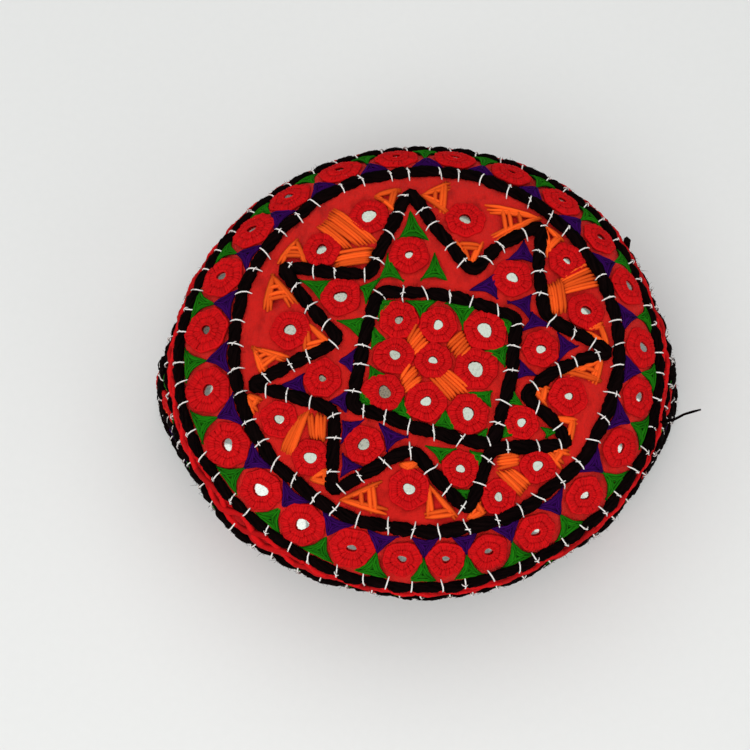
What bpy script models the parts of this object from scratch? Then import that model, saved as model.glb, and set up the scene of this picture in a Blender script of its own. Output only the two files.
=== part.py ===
"""A Sindhi topi: a soft domed cap of red cotton with mirror rosettes and couched black cords.

The cap stands on its hem on the plane Z = 0, with +Z up and its forehead arch towards -Y.
Each piece is first laid out flat, as cloth on a table, by its distance from the middle of the top
(run) and its direction round it (turn), and place() then gives it the cap's form.
The tables are in millimetres and degrees, and meshes are in metres.
"""
import math
from collections import namedtuple

import bmesh
import bpy
from mathutils import Vector

NAME = "sindhi_topi"
MM = 0.001

# Cloth and seams
WALL = 2.2
GAP = 0.35
SEAM_RUN = 97.5
SEAM_GAP = 0.4
INNER_RING_RUN = 71.0
RIM_RUN = 93.0
SIDE_RUN = 102.0
HEM_RUN = 155.0
HEM_CORD_FROM_EDGE = 3.4
ARCH_RISE = 18.0
ARCH_HALF_SPAN = math.radians(40)
ARCH_FULLNESS = 0.8
FRONT = math.radians(-90)
HEM_PRESSED = 0.9

# Cords, and the strip that covers the seam
CORD_RADIUS = 2.2
STRIP_HALF_WIDTH = 1.8
STRIP_BOTTOM = 0.4
STRIP_TOP = 1.3
TIP_ROUNDING = 4.0
CORNER_ROUNDING = 5.0

# The wall's zigzag
TEETH = 16
ZIGZAG_TOP_RUN = 107.0
ZIGZAG_FROM_HEM_CORD = 5.4
BAR_CLEARANCE = 0.9
POINTING_UP_SHARE = 0.63
POINTING_DOWN_SHARE = 0.35

# Rosettes: heights above the cloth, and their rings as shares of the whole radius
BOTTOM_LIFT = 0.4
EDGE_LIFT = 0.85
CREST_LIFT = 1.9
MIRROR_LIFT = 1.0
CREST_SHARE = 0.78
MIRROR_SHARE = 0.4
TOP_RADIUS = 7.0
SQUARE_RADIUS = 6.6
SHOULDER_RADIUS = 7.8
WALL_RADIUS = 7.2
SHOULDER_RUN = 82.5
SIDES = 10

# Fineness of the meshes
STATIONS = 40
CORD_SIDES_RESOLUTION = 1
SPIN_MERGE = 0.01
SHARP_EDGE = math.radians(50)
STEP = 0.01

# The cap's sections, from the middle of the top down to the hem. height is above the surface that
# the cap stands on, shift is along X, saddle is how far the section's two ends rise above its mean,
# and crease is how far its ends are pinched where the cap was folded flat.
Section = namedtuple("Section", "run height half_length half_width shift saddle crease")
SECTIONS = (
    Section(0.0, 79.0, 0.0, 0.0, 1.0, 0.0, 0.0),
    Section(36.0, 77.2, 35.9, 35.5, 1.0, 0.1, 0.0),
    Section(71.0, 71.0, 70.0, 69.0, 1.0, 0.3, 0.0),
    Section(82.5, 66.3, 80.6, 78.4, 0.5, 1.2, 0.0),
    Section(93.0, 59.5, 89.3, 86.0, 0.0, 2.0, 0.0),
    Section(102.0, 52.0, 94.5, 90.0, -0.5, 2.2, 0.02),
    Section(128.5, 26.0, 101.0, 86.0, 0.0, 1.0, 0.08),
    Section(155.0, 0.0, 106.5, 80.0, 0.0, 0.0, 0.12),
)

# The star on the top, clockwise: each point's tip, the valley after it, how far the legs before and
# after the tip bow to their left, and the rosette in the point
Point = namedtuple("Point", "tip_x tip_y valley_x valley_y bow_in bow_out rosette_x rosette_y")
STAR = (
    Point(-5.5, 59.0, 17.0, 26.0, 0.0, 0.9, -5.0, 33.5),
    Point(44.5, 46.0, 43.0, 12.0, 0.3, -0.8, 32.5, 23.5),
    Point(65.5, -1.0, 36.0, -20.0, -2.4, -1.0, 43.0, -4.0),
    Point(51.5, -36.5, 27.5, -42.5, 1.6, 0.2, 37.5, -31.0),
    Point(15.0, -61.5, -4.5, -40.5, 0.6, 1.8, 13.0, -48.5),
    Point(-33.0, -54.0, -32.5, -27.5, 0.0, 0.0, -21.5, -40.0),
    Point(-61.5, -16.0, -30.5, 0.0, -2.0, 0.0, -37.0, -13.5),
    Point(-51.5, 29.5, -20.0, 26.0, 0.5, -1.1, -30.0, 16.0),
)

# The square inside the star, from its far left corner clockwise
SQUARE = ((-17.0, 18.5), (34.5, 9.0), (23.5, -38.5), (-26.5, -25.0))

# Rosettes in the square, row by row, and those between the star's points and the inner ring
IN_SQUARE = (
    (-8.6, 6.7), (5.6, 4.8), (21.4, 2.6),
    (-10.4, -6.8), (3.6, -9.3), (18.4, -12.2),
    (-14.2, -20.6), (0.7, -24.0), (15.3, -28.3),
)
BETWEEN_POINTS = (
    (-37.5, 35.5), (-19.8, 49.0), (16.4, 47.8), (53.3, 31.8),
    (57.8, 12.8), (51.9, -20.6), (39.4, -46.8), (26.2, -56.2),
    (-5.5, -54.2), (-51.0, -28.5), (-40.7, -42.0), (-48.1, 4.1),
)

# The directions of the rosettes round the shoulder, in degrees from +X
SHOULDER_TURNS = (
    97, 81, 65, 49, 34, 18, 0, -14, -29, -45, -61, -74,
    -85, -96, -109, -123, -137, -152, -168, -185, -201, -217, -231, -247,
)

RED_CLOTH = (0.56, 0.020, 0.012)
RED_THREAD = (0.68, 0.008, 0.010)
BLACK_YARN = (0.006, 0.005, 0.006)


def material(name, colour, roughness, metallic=0.0):
    made = bpy.data.materials.new(name)
    made.use_nodes = True
    shader = made.node_tree.nodes["Principled BSDF"]
    shader.inputs["Base Color"].default_value = (*colour, 1.0)
    shader.inputs["Roughness"].default_value = roughness
    shader.inputs["Metallic"].default_value = metallic
    made.diffuse_color = (*colour, 1.0)
    return made


# The form of the cap

def section(run):
    """The section at this distance over the cloth, on a smooth curve through the table."""
    rows = list(SECTIONS)
    before_top = rows[1]._replace(run=-rows[1].run, half_length=-rows[1].half_length,
                                  half_width=-rows[1].half_width)
    below_hem = Section(*(2 * a - b for a, b in zip(rows[-1], rows[-2])))
    rows = [before_top, *rows, below_hem]
    index = 1
    while index < len(rows) - 3 and rows[index + 1].run < run:
        index += 1
    a, b, c, d = rows[index - 1:index + 3]
    span = c.run - b.run
    t = (run - b.run) / span
    found = []
    for pa, pb, pc, pd in zip(a, b, c, d):
        slope_b = (pc - pa) / (c.run - a.run) * span
        slope_c = (pd - pb) / (d.run - b.run) * span
        found.append((2 * t**3 - 3 * t**2 + 1) * pb + (t**3 - 2 * t**2 + t) * slope_b
                     + (3 * t**2 - 2 * t**3) * pc + (t**3 - t**2) * slope_c)
    return Section(*found)


def on_cloth(turn, run):
    """The point of the outer cloth there, in millimetres."""
    s = section(run)
    across = math.sin(turn)
    pinched = abs(across) ** (1 + max(s.crease, 0.0))
    return Vector((s.shift + s.half_length * math.cos(turn),
                   s.half_width * math.copysign(pinched, across),
                   s.height + s.saddle * math.cos(2 * turn)))


def outward(turn, run):
    """The cloth's outward normal there."""
    run = max(run, CORD_RADIUS)
    along = on_cloth(turn, run + STEP) - on_cloth(turn, run - STEP)
    around = on_cloth(turn + STEP, run) - on_cloth(turn - STEP, run)
    return along.cross(around).normalized()


def place(turn, run, lift):
    """The point this far above the outer cloth, in metres."""
    if run < SPIN_MERGE:
        return Vector((SECTIONS[0].shift, 0.0, SECTIONS[0].height + lift)) * MM
    return (on_cloth(turn, run) + outward(turn, run) * lift) * MM


def hem_run(turn):
    """The distance over the cloth to the hem, which is shorter over the forehead arch."""
    off = abs(math.remainder(turn - FRONT, math.tau)) / ARCH_HALF_SPAN
    if off >= 1:
        return HEM_RUN
    return HEM_RUN - ARCH_RISE * (0.5 + 0.5 * math.cos(math.pi * off)) ** ARCH_FULLNESS


def down_wall(turn, run):
    """A distance down the wall as cut straight, shortened where the arch lifts the hem."""
    if run <= SIDE_RUN:
        return run
    return SIDE_RUN + (run - SIDE_RUN) * (hem_run(turn) - SIDE_RUN) / (HEM_RUN - SIDE_RUN)


def under(x, y):
    """The turn and run of the cloth under a point of the top, seen from above."""
    low, high = 0.0, SIDE_RUN
    for _ in range(40):
        run = (low + high) / 2
        s = section(run)
        if ((x - s.shift) / s.half_length) ** 2 + (y / s.half_width) ** 2 > 1:
            low = run
        else:
            high = run
    return math.atan2(y / s.half_width, (x - s.shift) / s.half_length), run


# Making pieces

def finish(bm, name, look):
    """The closed mesh as an object of its own, smooth but for its sharp edges."""
    mesh = bpy.data.meshes.new(name)
    bmesh.ops.recalc_face_normals(bm, faces=bm.faces)
    bm.to_mesh(mesh)
    bm.free()
    mesh.shade_smooth()
    mesh.set_sharp_from_angle(angle=SHARP_EDGE)
    mesh.materials.append(look)
    made = bpy.data.objects.new(name, mesh)
    bpy.data.collections[NAME].objects.link(made)
    return made


def turned(bm, outline, closed, steps):
    """The outline of (radius, height) pairs, turned once round Z. Returns its vertices."""
    corners = [bm.verts.new((radius, 0.0, height)) for radius, height in outline]
    pairs = list(zip(corners, corners[1:]))
    if closed:
        pairs.append((corners[-1], corners[0]))
    edges = [bm.edges.new(pair) for pair in pairs]
    before = set(bm.verts) - set(corners)
    bmesh.ops.spin(bm, geom=corners + edges, cent=(0, 0, 0), axis=(0, 0, 1), steps=steps,
                   angle=math.tau, use_merge=True)
    fresh = [v for v in bm.verts if v not in before]
    bmesh.ops.remove_doubles(bm, verts=fresh, dist=SPIN_MERGE)
    return [v for v in bm.verts if v not in before]


def wrapped(name, outline, closed, look):
    """A piece that goes all the way round the cap, from its (run, lift) outline."""
    bm = bmesh.new()
    for v in turned(bm, outline, closed, STATIONS):
        turn = math.atan2(v.co.y, v.co.x)
        run = math.hypot(v.co.x, v.co.y)
        v.co = place(turn, down_wall(turn, run), v.co.z)
    return finish(bm, name, look)


def wall_outline(runs):
    """The outline of a cloth wall: down its outer face, and back up its inner one."""
    return [(run, 0.0) for run in runs] + [(run, -WALL) for run in reversed(runs)]


def cord(name, route, look):
    """A closed cord along a route of (turn, run, extra lift). Returns its centre line in metres."""
    line = [place(turn, run, GAP + CORD_RADIUS + extra) for turn, run, extra in route]
    curve = bpy.data.curves.new(name, "CURVE")
    curve.dimensions = "3D"
    curve.bevel_depth = CORD_RADIUS * MM
    curve.bevel_resolution = CORD_SIDES_RESOLUTION
    spline = curve.splines.new("POLY")
    spline.points.add(len(line) - 1)
    for point, co in zip(spline.points, line):
        point.co = (*co, 1.0)
    spline.use_cyclic_u = True
    spline.use_smooth = True
    curve.materials.append(look)
    bpy.data.collections[NAME].objects.link(bpy.data.objects.new(name, curve))
    return line + line[:1]


def ring_route(run_at):
    """A route all the way round, at the run that run_at gives for each turn."""
    turns = [math.tau * k / STATIONS for k in range(STATIONS)]
    return [(turn, run_at(turn), 0.0) for turn in turns]


def rounded(corner, before, after, rounding):
    """Three points that take a flat corner round, on an arc-like bend."""
    to_before = (before - corner).normalized() * rounding
    to_after = (after - corner).normalized() * rounding
    middle = corner + (to_before + to_after) / 4
    return [corner + to_before, middle, corner + to_after]


def bowed(start, end, bow):
    """The middle of a leg, set off to its left by bow."""
    along = (end - start).normalized()
    return (start + end) / 2 + Vector((-along.y, along.x)) * bow


def star_route():
    """The star's cord on the top, seen from above: tip, leg, valley, leg and so on."""
    flat = []
    for k, point in enumerate(STAR):
        tip = Vector((point.tip_x, point.tip_y))
        last = Vector((STAR[k - 1].valley_x, STAR[k - 1].valley_y))
        valley = Vector((point.valley_x, point.valley_y))
        following = STAR[(k + 1) % len(STAR)]
        next_tip = Vector((following.tip_x, following.tip_y))
        flat.append(bowed(last, tip, point.bow_in))
        flat += rounded(tip, last, valley, TIP_ROUNDING)
        flat.append(bowed(tip, valley, point.bow_out))
        flat += rounded(valley, tip, next_tip, TIP_ROUNDING)
    return [(*under(p.x, p.y), 0.0) for p in flat]


def square_route():
    """The square's cord: rounded corners, and one point in the middle of each side."""
    corners = [Vector(c) for c in SQUARE]
    flat = []
    for k, corner in enumerate(corners):
        following = corners[(k + 1) % len(corners)]
        flat += rounded(corner, corners[k - 1], following, CORNER_ROUNDING)
        flat.append((corner + following) / 2)
    return [(*under(p.x, p.y), 0.0) for p in flat]


def hem_cord_run(turn):
    return hem_run(turn) - HEM_CORD_FROM_EDGE


def zigzag_route():
    """Up and down the wall, and over each thread bar at the middle of a leg. A point is in front."""
    route = []
    for k in range(2 * TEETH):
        turn = FRONT + math.pi * k / TEETH
        halfway = turn + math.pi / TEETH / 2
        run = zigzag_run(turn, k % 2)
        next_run = zigzag_run(turn + math.pi / TEETH, (k + 1) % 2)
        route.append((turn, run, 0.0))
        route.append((halfway, (run + next_run) / 2, BAR_CLEARANCE))
    return route


def zigzag_run(turn, low):
    return hem_cord_run(turn) - ZIGZAG_FROM_HEM_CORD if low else ZIGZAG_TOP_RUN


def widest(spot, spots, lines, nominal):
    """The radius of a rosette at this (turn, run), clear of the cords and of its neighbours."""
    centre = place(*spot, GAP + CORD_RADIUS)
    free = nominal
    for line in lines:
        for a, b in zip(line, line[1:]):
            along = b - a
            share = max(0.0, min(1.0, (centre - a).dot(along) / along.length_squared))
            free = min(free, (centre - a - along * share).length / MM - CORD_RADIUS - GAP)
    for other in spots:
        if other is not spot:
            apart = (place(*other, 0.0) - place(*spot, 0.0)).length / MM
            free = min(free, (apart - GAP) / 2)
    return free


def single_rosette(name, spot, radius, look):
    """A rosette on the top: a mirror in a sloping ring of thread."""
    outline = [(0.0, BOTTOM_LIFT), (radius, BOTTOM_LIFT), (radius * CREST_SHARE, CREST_LIFT),
               (radius * MIRROR_SHARE, MIRROR_LIFT), (0.0, MIRROR_LIFT)]
    centre = on_cloth(*spot)
    normal = outward(*spot)
    right = normal.cross(Vector((0, -1, 0))).normalized()
    back = normal.cross(right)
    bm = bmesh.new()
    for v in turned(bm, outline, False, SIDES):
        seen = centre + right * v.co.x + back * v.co.y
        v.co = place(*under(seen.x, seen.y), v.co.z)
    return finish(bm, name, look)


def joined_rosette(bm, spot, radius):
    """A rosette on the shoulder or the wall, with an upright rim. Returns the rim's faces."""
    turn, run = spot
    outline = [(0.0, BOTTOM_LIFT), (radius, BOTTOM_LIFT), (radius, EDGE_LIFT),
               (radius * CREST_SHARE, CREST_LIFT), (radius * MIRROR_SHARE, MIRROR_LIFT),
               (0.0, MIRROR_LIFT)]
    made = turned(bm, outline, False, SIDES)
    on_rim = {v for v in made if math.hypot(v.co.x, v.co.y) > radius - SPIN_MERGE}
    for v in made:
        here = run + v.co.y
        a_radian = (on_cloth(turn + STEP, here) - on_cloth(turn - STEP, here)).length / (2 * STEP)
        v.co = place(turn + v.co.x / a_radian, here, v.co.z)
    faces = {f for v in on_rim for f in v.link_faces}
    return [f for f in faces if set(f.verts) <= on_rim and len(f.verts) == 4]


def round_of_rosettes(name, spots, lines, nominal, look):
    """A closed round of rosettes, each joined to the next by a flat bar of thread."""
    bm = bmesh.new()
    rims = [joined_rosette(bm, spot, widest(spot, spots, lines, nominal)) for spot in spots]
    centres = [place(*spot, 0.0) for spot in spots]
    for k in range(len(spots)):
        after = (k + 1) % len(spots)
        ends = [nearest_face(rims[k], centres[after]), nearest_face(rims[after], centres[k])]
        edges = [e for face in ends for e in face.edges]
        rims[k].remove(ends[0])
        rims[after].remove(ends[1])
        bmesh.ops.delete(bm, geom=ends, context="FACES_ONLY")
        bmesh.ops.bridge_loops(bm, edges=edges)
    return finish(bm, name, look)


def nearest_face(faces, point):
    return min(faces, key=lambda face: (face.calc_center_median() - point).length)


# The cap's pieces

def build_cloth(look):
    crown_runs = [0.0, SECTIONS[1].run, INNER_RING_RUN, SHOULDER_RUN, RIM_RUN, SEAM_RUN - SEAM_GAP / 2]
    wrapped("crown", wall_outline(crown_runs), False, look)
    down = HEM_RUN - SIDE_RUN
    wall_runs = [SEAM_RUN + SEAM_GAP / 2, SIDE_RUN, SIDE_RUN + down / 3, SIDE_RUN + down * 2 / 3, HEM_RUN]
    band = wrapped("side_band", wall_outline(wall_runs), True, look)
    for v in band.data.vertices:
        if v.co.z < HEM_PRESSED * MM:
            v.co.z = 0.0


def build_strip(look):
    low, high = SEAM_RUN - STRIP_HALF_WIDTH, SEAM_RUN + STRIP_HALF_WIDTH
    outline = [(low, STRIP_BOTTOM), (low, STRIP_TOP), (high, STRIP_TOP), (high, STRIP_BOTTOM)]
    wrapped("seam_strip", outline, True, look)


def build_cords(look):
    """All the cords. Returns their centre lines."""
    routes = {
        "inner_ring_cord": ring_route(lambda turn: INNER_RING_RUN),
        "rim_cord": ring_route(lambda turn: RIM_RUN),
        "side_cord": ring_route(lambda turn: SIDE_RUN),
        "hem_cord": ring_route(hem_cord_run),
        "star_cord": star_route(),
        "square_cord": square_route(),
        "zigzag_cord": zigzag_route(),
    }
    return [cord(name, route, look) for name, route in routes.items()]


def build_top_rosettes(lines, look):
    groups = {
        "square_rosette": [under(x, y) for x, y in IN_SQUARE],
        "star_rosette": [under(p.rosette_x, p.rosette_y) for p in STAR],
        "outer_rosette": [under(x, y) for x, y in BETWEEN_POINTS],
    }
    every = [spot for spots in groups.values() for spot in spots]
    for group, spots in groups.items():
        nominal = SQUARE_RADIUS if group == "square_rosette" else TOP_RADIUS
        for k, spot in enumerate(spots, start=1):
            single_rosette(f"{group}_{k:02d}", spot, widest(spot, every, lines, nominal), look)


def build_round_rosettes(lines, look):
    shoulder = [(math.radians(turn), SHOULDER_RUN) for turn in SHOULDER_TURNS]
    round_of_rosettes("shoulder_rosettes", shoulder, lines, SHOULDER_RADIUS, look)
    wall = []
    for k in range(2 * TEETH):
        turn = FRONT + math.pi * k / TEETH
        share = POINTING_DOWN_SHARE if k % 2 else POINTING_UP_SHARE
        wall.append((turn, ZIGZAG_TOP_RUN + (zigzag_run(turn, True) - ZIGZAG_TOP_RUN) * share))
    round_of_rosettes("wall_rosettes", wall, lines, WALL_RADIUS, look)


def main():
    for old in list(bpy.data.objects):
        bpy.data.objects.remove(old)
    bpy.context.scene.collection.children.link(bpy.data.collections.new(NAME))
    cloth = material("red cotton", RED_CLOTH, 0.85)
    thread = material("red thread", RED_THREAD, 0.7)
    yarn = material("black yarn", BLACK_YARN, 0.9)
    build_cloth(cloth)
    build_strip(cloth)
    lines = build_cords(yarn)
    build_top_rosettes(lines, thread)
    build_round_rosettes(lines, thread)


main()
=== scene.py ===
"""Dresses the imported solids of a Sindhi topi, a soft domed cap of red cotton worked with mirrors.

The file is laid out as a Blender add-on and is run as a script. The cap is worked in millimetres on
a map: turn is the direction round the cap in radians, run the distance over the cloth from the middle
of the top, and lift the height above the cloth. place() puts a point of the map in its place in metres.
The forehead arch looks towards -Y, and the camera sees the cap from above with +Y up.
"""
import math
from collections import namedtuple

import bmesh
import bpy
import numpy as np
from mathutils import Matrix, Vector


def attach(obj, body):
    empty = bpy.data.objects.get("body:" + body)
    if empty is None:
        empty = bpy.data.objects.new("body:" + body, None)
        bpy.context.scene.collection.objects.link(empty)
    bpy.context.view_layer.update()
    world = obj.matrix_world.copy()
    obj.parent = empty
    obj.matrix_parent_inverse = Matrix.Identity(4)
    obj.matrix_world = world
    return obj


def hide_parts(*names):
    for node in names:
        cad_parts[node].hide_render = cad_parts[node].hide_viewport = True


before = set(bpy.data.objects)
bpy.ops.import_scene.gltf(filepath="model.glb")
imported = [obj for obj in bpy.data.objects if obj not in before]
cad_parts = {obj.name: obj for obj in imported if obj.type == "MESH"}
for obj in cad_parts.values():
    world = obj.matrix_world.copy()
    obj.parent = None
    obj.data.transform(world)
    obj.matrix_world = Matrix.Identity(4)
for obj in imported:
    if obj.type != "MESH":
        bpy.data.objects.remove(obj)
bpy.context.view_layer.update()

bl_info = {
    "name": "Sindhi topi",
    "version": (1, 0, 0),
    "blender": (4, 5, 0),
    "location": "3D View > Sidebar > Topi",
    "description": "Worked cloth, cords, mirrors and stitches for the cap's solids",
    "category": "Object",
}

MM = 0.001
SEED = 7

# The cap's form, in millimetres. Below the flat top it lies mostly 2 to 4 mm inside that of
# the solids, where the photo's outline puts it

WALL = 2.2
SEAM_RUN = 97.5
SEAM_GAP = 0.4
INNER_RING_RUN = 71.0
RIM_RUN = 93.0
SIDE_RUN = 102.0
HEM_RUN = 155.0
HEM_CORD_FROM_EDGE = 3.4
ARCH_RISE = 18.0
ARCH_HALF_SPAN = math.radians(40)
ARCH_FULLNESS = 0.8
FRONT = math.radians(-90)
HEM_PRESSED = 0.9
TEETH = 16
ZIGZAG_TOP_RUN = 107.0
ZIGZAG_FROM_HEM_CORD = 5.4
POINTING_UP_SHARE = 0.63
POINTING_DOWN_SHARE = 0.35
SHOULDER_RUN = 82.5
STEP = 0.01
NEAR_TOP = 2.2

# Where a cord's middle and its stitched top are, as shares of its height above the cloth
CORD_MIDDLE = 0.37
CORD_TOP = 0.76

# Cross-sections from the middle of the top to the hem: run, height, half the length and half the
# width, how far they are shifted towards +X, how much the ends are higher than the sides, and how
# much the sides are creased in
SECTIONS = (
    (0.0, 79.0, 0.0, 0.0, 1.0, 0.0, 0.0),
    (36.0, 77.2, 35.9, 35.5, 1.0, 0.1, 0.0),
    (71.0, 71.0, 70.0, 69.0, 1.0, 0.3, 0.0),
    (82.5, 66.3, 80.1, 77.6, 0.5, 1.2, 0.0),
    (93.0, 59.5, 87.8, 83.2, 0.0, 2.0, 0.0),
    (102.0, 52.0, 92.6, 86.0, -0.5, 2.2, 0.03),
    (128.5, 26.0, 99.0, 82.6, 0.0, 1.0, 0.22),
    (155.0, 0.0, 104.2, 77.4, 0.0, 0.0, 0.36),
)

# The direction in degrees from +X, and how far the cloth stands out there beyond the sections at the
# rim cord, at the side cord and half down the wall
BULGES = (
    (0, -1.0, 0.0, -0.4), (18, -1.6, -1.4, -2.6), (45, 0.6, 1.0, 0.0),
    (62, 0.8, 0.6, 0.0), (78, 0.2, -1.0, -0.5), (100, 0.0, -1.2, -1.0),
    (125, -0.2, -1.4, -1.8), (150, -0.4, -2.0, -2.8), (167, 0.8, -1.2, -2.4),
    (179, 1.8, 1.2, 2.6), (195, 2.3, 1.2, 0.4), (210, 2.0, 2.5, 0.0),
    (225, 1.5, 4.2, 0.6), (240, 1.8, 2.5, 0.0), (257, 2.4, 0.8, -0.4),
    (282, 2.6, 1.4, 0.0), (300, 1.8, 0.3, 0.0), (315, 1.8, 1.5, 0.4),
    (332, 1.4, 0.9, 0.2), (348, -0.2, -0.4, -1.4), (360, -1.0, 0.0, -0.4),
)
BULGE_RUNS = np.array((SHOULDER_RUN, RIM_RUN, SIDE_RUN, 128.5, HEM_RUN))

# The star on the top, clockwise: each point's tip, the valley after it, and how far the legs before
# and after the tip bow to their left
STAR = (
    (-5.1, 60.0, 17.7, 25.5, -0.5, -0.8),
    (44.8, 47.3, 43.3, 9.8, 2.4, -1.8),
    (68.6, -3.2, 35.5, -20.2, -0.5, -3.3),
    (51.7, -37.5, 23.9, -40.2, 1.3, 0.4),
    (15.3, -62.2, -4.4, -40.1, 0.8, 0.0),
    (-32.9, -55.0, -31.8, -26.8, -0.2, -0.5),
    (-63.1, -15.8, -30.1, -0.6, -1.4, -0.3),
    (-52.0, 29.6, -19.0, 25.0, 0.9, -1.3),
)

# The square: each corner, and the middle of the side after it
SQUARE = (
    (-16.6, 18.4, 9.5, 16.3),
    (34.4, 8.4, 31.0, -15.2),
    (24.1, -39.2, -1.0, -33.6),
    (-26.2, -25.0, -21.7, -2.6),
)

# How far from a corner of the star or the square its cord starts to turn
ROUNDING = 3.0

# Rosettes seen from above: middle, radius, the mirror's radius, how far the mirror is darkened and
# browned (0 bright,
# 1 brown), and the direction and share of a corner that is pulled out
IN_SQUARE = (
    (-8.8, 6.7, 6.9, 1.9, 0.7, 120, 0.08),
    (5.3, 4.8, 6.6, 2.2, 0.0, 60, 0.08),
    (22.1, 3.0, 7.4, 3.0, 0.0, -35, 0.16),
    (-10.3, -6.6, 6.7, 2.2, 0.3, 190, 0.24),
    (3.3, -8.5, 6.4, 1.9, 0.1, 0, 0.04),
    (18.5, -11.6, 7.5, 3.1, 0.1, 25, 0.16),
    (-14.0, -20.2, 6.6, 2.6, 1.0, 160, 0.3),
    (0.7, -23.6, 7.1, 2.2, 0.0, 200, 0.1),
    (15.6, -27.9, 7.1, 2.6, 0.1, -60, 0.06),
)
IN_STAR = (
    (-5.0, 32.5, 7.2, 1.9, 0.0, 90, 0.05),
    (32.7, 23.7, 7.1, 2.4, 0.0, 40, 0.06),
    (42.2, -3.6, 6.5, 2.1, 0.0, 90, 0.08),
    (34.6, -30.7, 5.9, 2.0, 0.0, 150, 0.2),
    (12.6, -47.4, 6.3, 1.9, 0.0, 20, 0.08),
    (-21.4, -38.8, 6.6, 2.4, 0.5, 0, 0.08),
    (-36.2, -14.6, 6.6, 1.7, 0.9, 80, 0.12),
    (-29.9, 16.1, 7.1, 2.6, 0.3, 45, 0.06),
)
BETWEEN_POINTS = (
    (-37.1, 35.5, 6.8, 2.3, 0.2, 100, 0.05),
    (-19.7, 48.9, 7.2, 3.0, 0.0, 0, 0.05),
    (16.0, 47.4, 7.1, 2.4, 0.4, 0, 0.05),
    (53.3, 31.8, 6.8, 1.8, 0.1, 90, 0.08),
    (59.4, 12.1, 6.7, 2.2, 0.0, -80, 0.12),
    (51.9, -20.6, 6.8, 1.8, 0.0, 180, 0.08),
    (40.1, -45.8, 6.0, 2.2, 0.0, 0, 0.16),
    (26.0, -56.9, 6.0, 1.9, 0.2, -60, 0.1),
    (-5.5, -54.4, 7.1, 2.4, 0.0, 100, 0.05),
    (-51.6, -28.9, 6.5, 2.1, 0.2, 150, 0.12),
    (-40.3, -42.9, 6.4, 2.5, 0.0, 0, 0.06),
    (-48.1, 4.1, 7.2, 2.5, 0.3, 0, 0.05),
)

# Rosettes round the shoulder: direction in degrees from +X, radius, mirror's radius and dullness
ON_SHOULDER = (
    (97, 8.0, 2.0, 0.6), (81, 7.8, 2.1, 0.5), (65, 7.8, 1.9, 0.8),
    (49, 7.6, 2.0, 0.6), (34, 6.9, 2.0, 0.5), (18, 7.5, 2.3, 0.3),
    (0, 7.5, 2.3, 0.2), (-14, 7.3, 2.2, 0.2), (-29, 7.2, 2.1, 0.3),
    (-45, 7.2, 2.1, 0.4), (-61, 7.2, 2.0, 0.3), (-74, 6.9, 1.9, 0.4),
    (-85, 6.7, 1.9, 0.2), (-96, 6.7, 2.0, 0.3), (-109, 7.8, 2.0, 0.3),
    (-123, 8.1, 2.8, 0.0), (-137, 7.6, 3.0, 0.0), (-152, 8.3, 2.6, 0.1),
    (-168, 8.4, 2.4, 0.5), (-185, 8.4, 2.1, 0.8), (-201, 8.3, 2.2, 0.6),
    (-217, 8.2, 2.1, 0.5), (-231, 8.1, 2.1, 0.6), (-247, 8.0, 2.1, 0.7),
)

# Triangles on the top that are filled with thread, by their three corners
GREEN = (
    (-4.4, 51.6, -8.6, 39.6, 2.5, 39.1), (-12.7, 33.0, -16.0, 23.3, -7.3, 22.4),
    (4.6, 33.3, -0.3, 23.2, 9.2, 22.4), (-45.1, 24.0, -33.6, 23.0, -37.2, 14.8),
    (-23.0, 20.3, -15.7, 23.3, -20.8, 13.5), (-30.9, 7.1, -21.1, 8.4, -22.6, -0.4),
    (30.9, -17.4, 27.9, -24.8, 35.4, -24.6), (28.5, -29.5, 27.3, -36.3, 34.1, -35.7),
    (41.8, -32.3, 48.7, -33.1, 43.5, -35.8), (0.9, -39.4, 11.2, -40.4, 5.5, -45.0),
    (16.2, -41.1, 20.5, -41.7, 19.7, -47.0), (10.4, -54.4, 18.6, -54.3, 15.3, -60.5),
    (-15.7, 15.4, -10.6, 14.5, -16.1, 7.2), (-5.9, 14.5, 5.1, 14.5, -0.8, 7.5),
    (8.3, 13.7, 20.3, 13.0, 14.3, 3.7), (27.9, 8.2, 32.2, 7.5, 31.3, 0.6),
    (-18.6, 5.3, -13.5, -0.5, -18.9, -3.5), (30.9, -1.7, 20.7, -5.0, 29.2, -10.0),
    (-19.3, -10.2, -12.5, -14.4, -20.4, -16.9), (-22.1, -18.7, -26.1, -24.1, -16.8, -26.0),
    (-7.5, -22.1, -12.5, -28.2, -4.3, -30.5), (7.1, -26.1, 3.8, -31.9, 12.0, -35.1),
    (24.0, -19.4, 15.7, -20.2, 23.9, -25.2), (22.4, -32.8, 17.0, -36.4, 21.6, -37.8),
)
PURPLE = (
    (37.8, 39.7, 31.5, 31.4, 41.9, 30.3), (28.4, 27.2, 27.0, 16.0, 17.2, 18.9),
    (31.0, 14.5, 39.6, 17.6, 38.9, 8.1), (39.3, 10.5, 46.5, 5.8, 36.1, 3.4),
    (49.0, 3.2, 55.9, -1.4, 49.0, -7.0), (34.4, -8.0, 40.4, -13.4, 33.5, -14.8),
    (-28.9, -30.1, -22.1, -30.3, -29.2, -37.9), (-16.1, -31.4, -6.1, -36.2, -13.2, -41.1),
    (-28.9, -42.2, -21.7, -46.6, -29.6, -49.9), (-24.3, -3.7, -30.8, -8.1, -25.4, -13.1),
    (-43.1, -12.5, -52.5, -16.4, -41.9, -20.6), (-26.1, -18.2, -34.0, -23.1, -27.9, -26.9),
)
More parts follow.
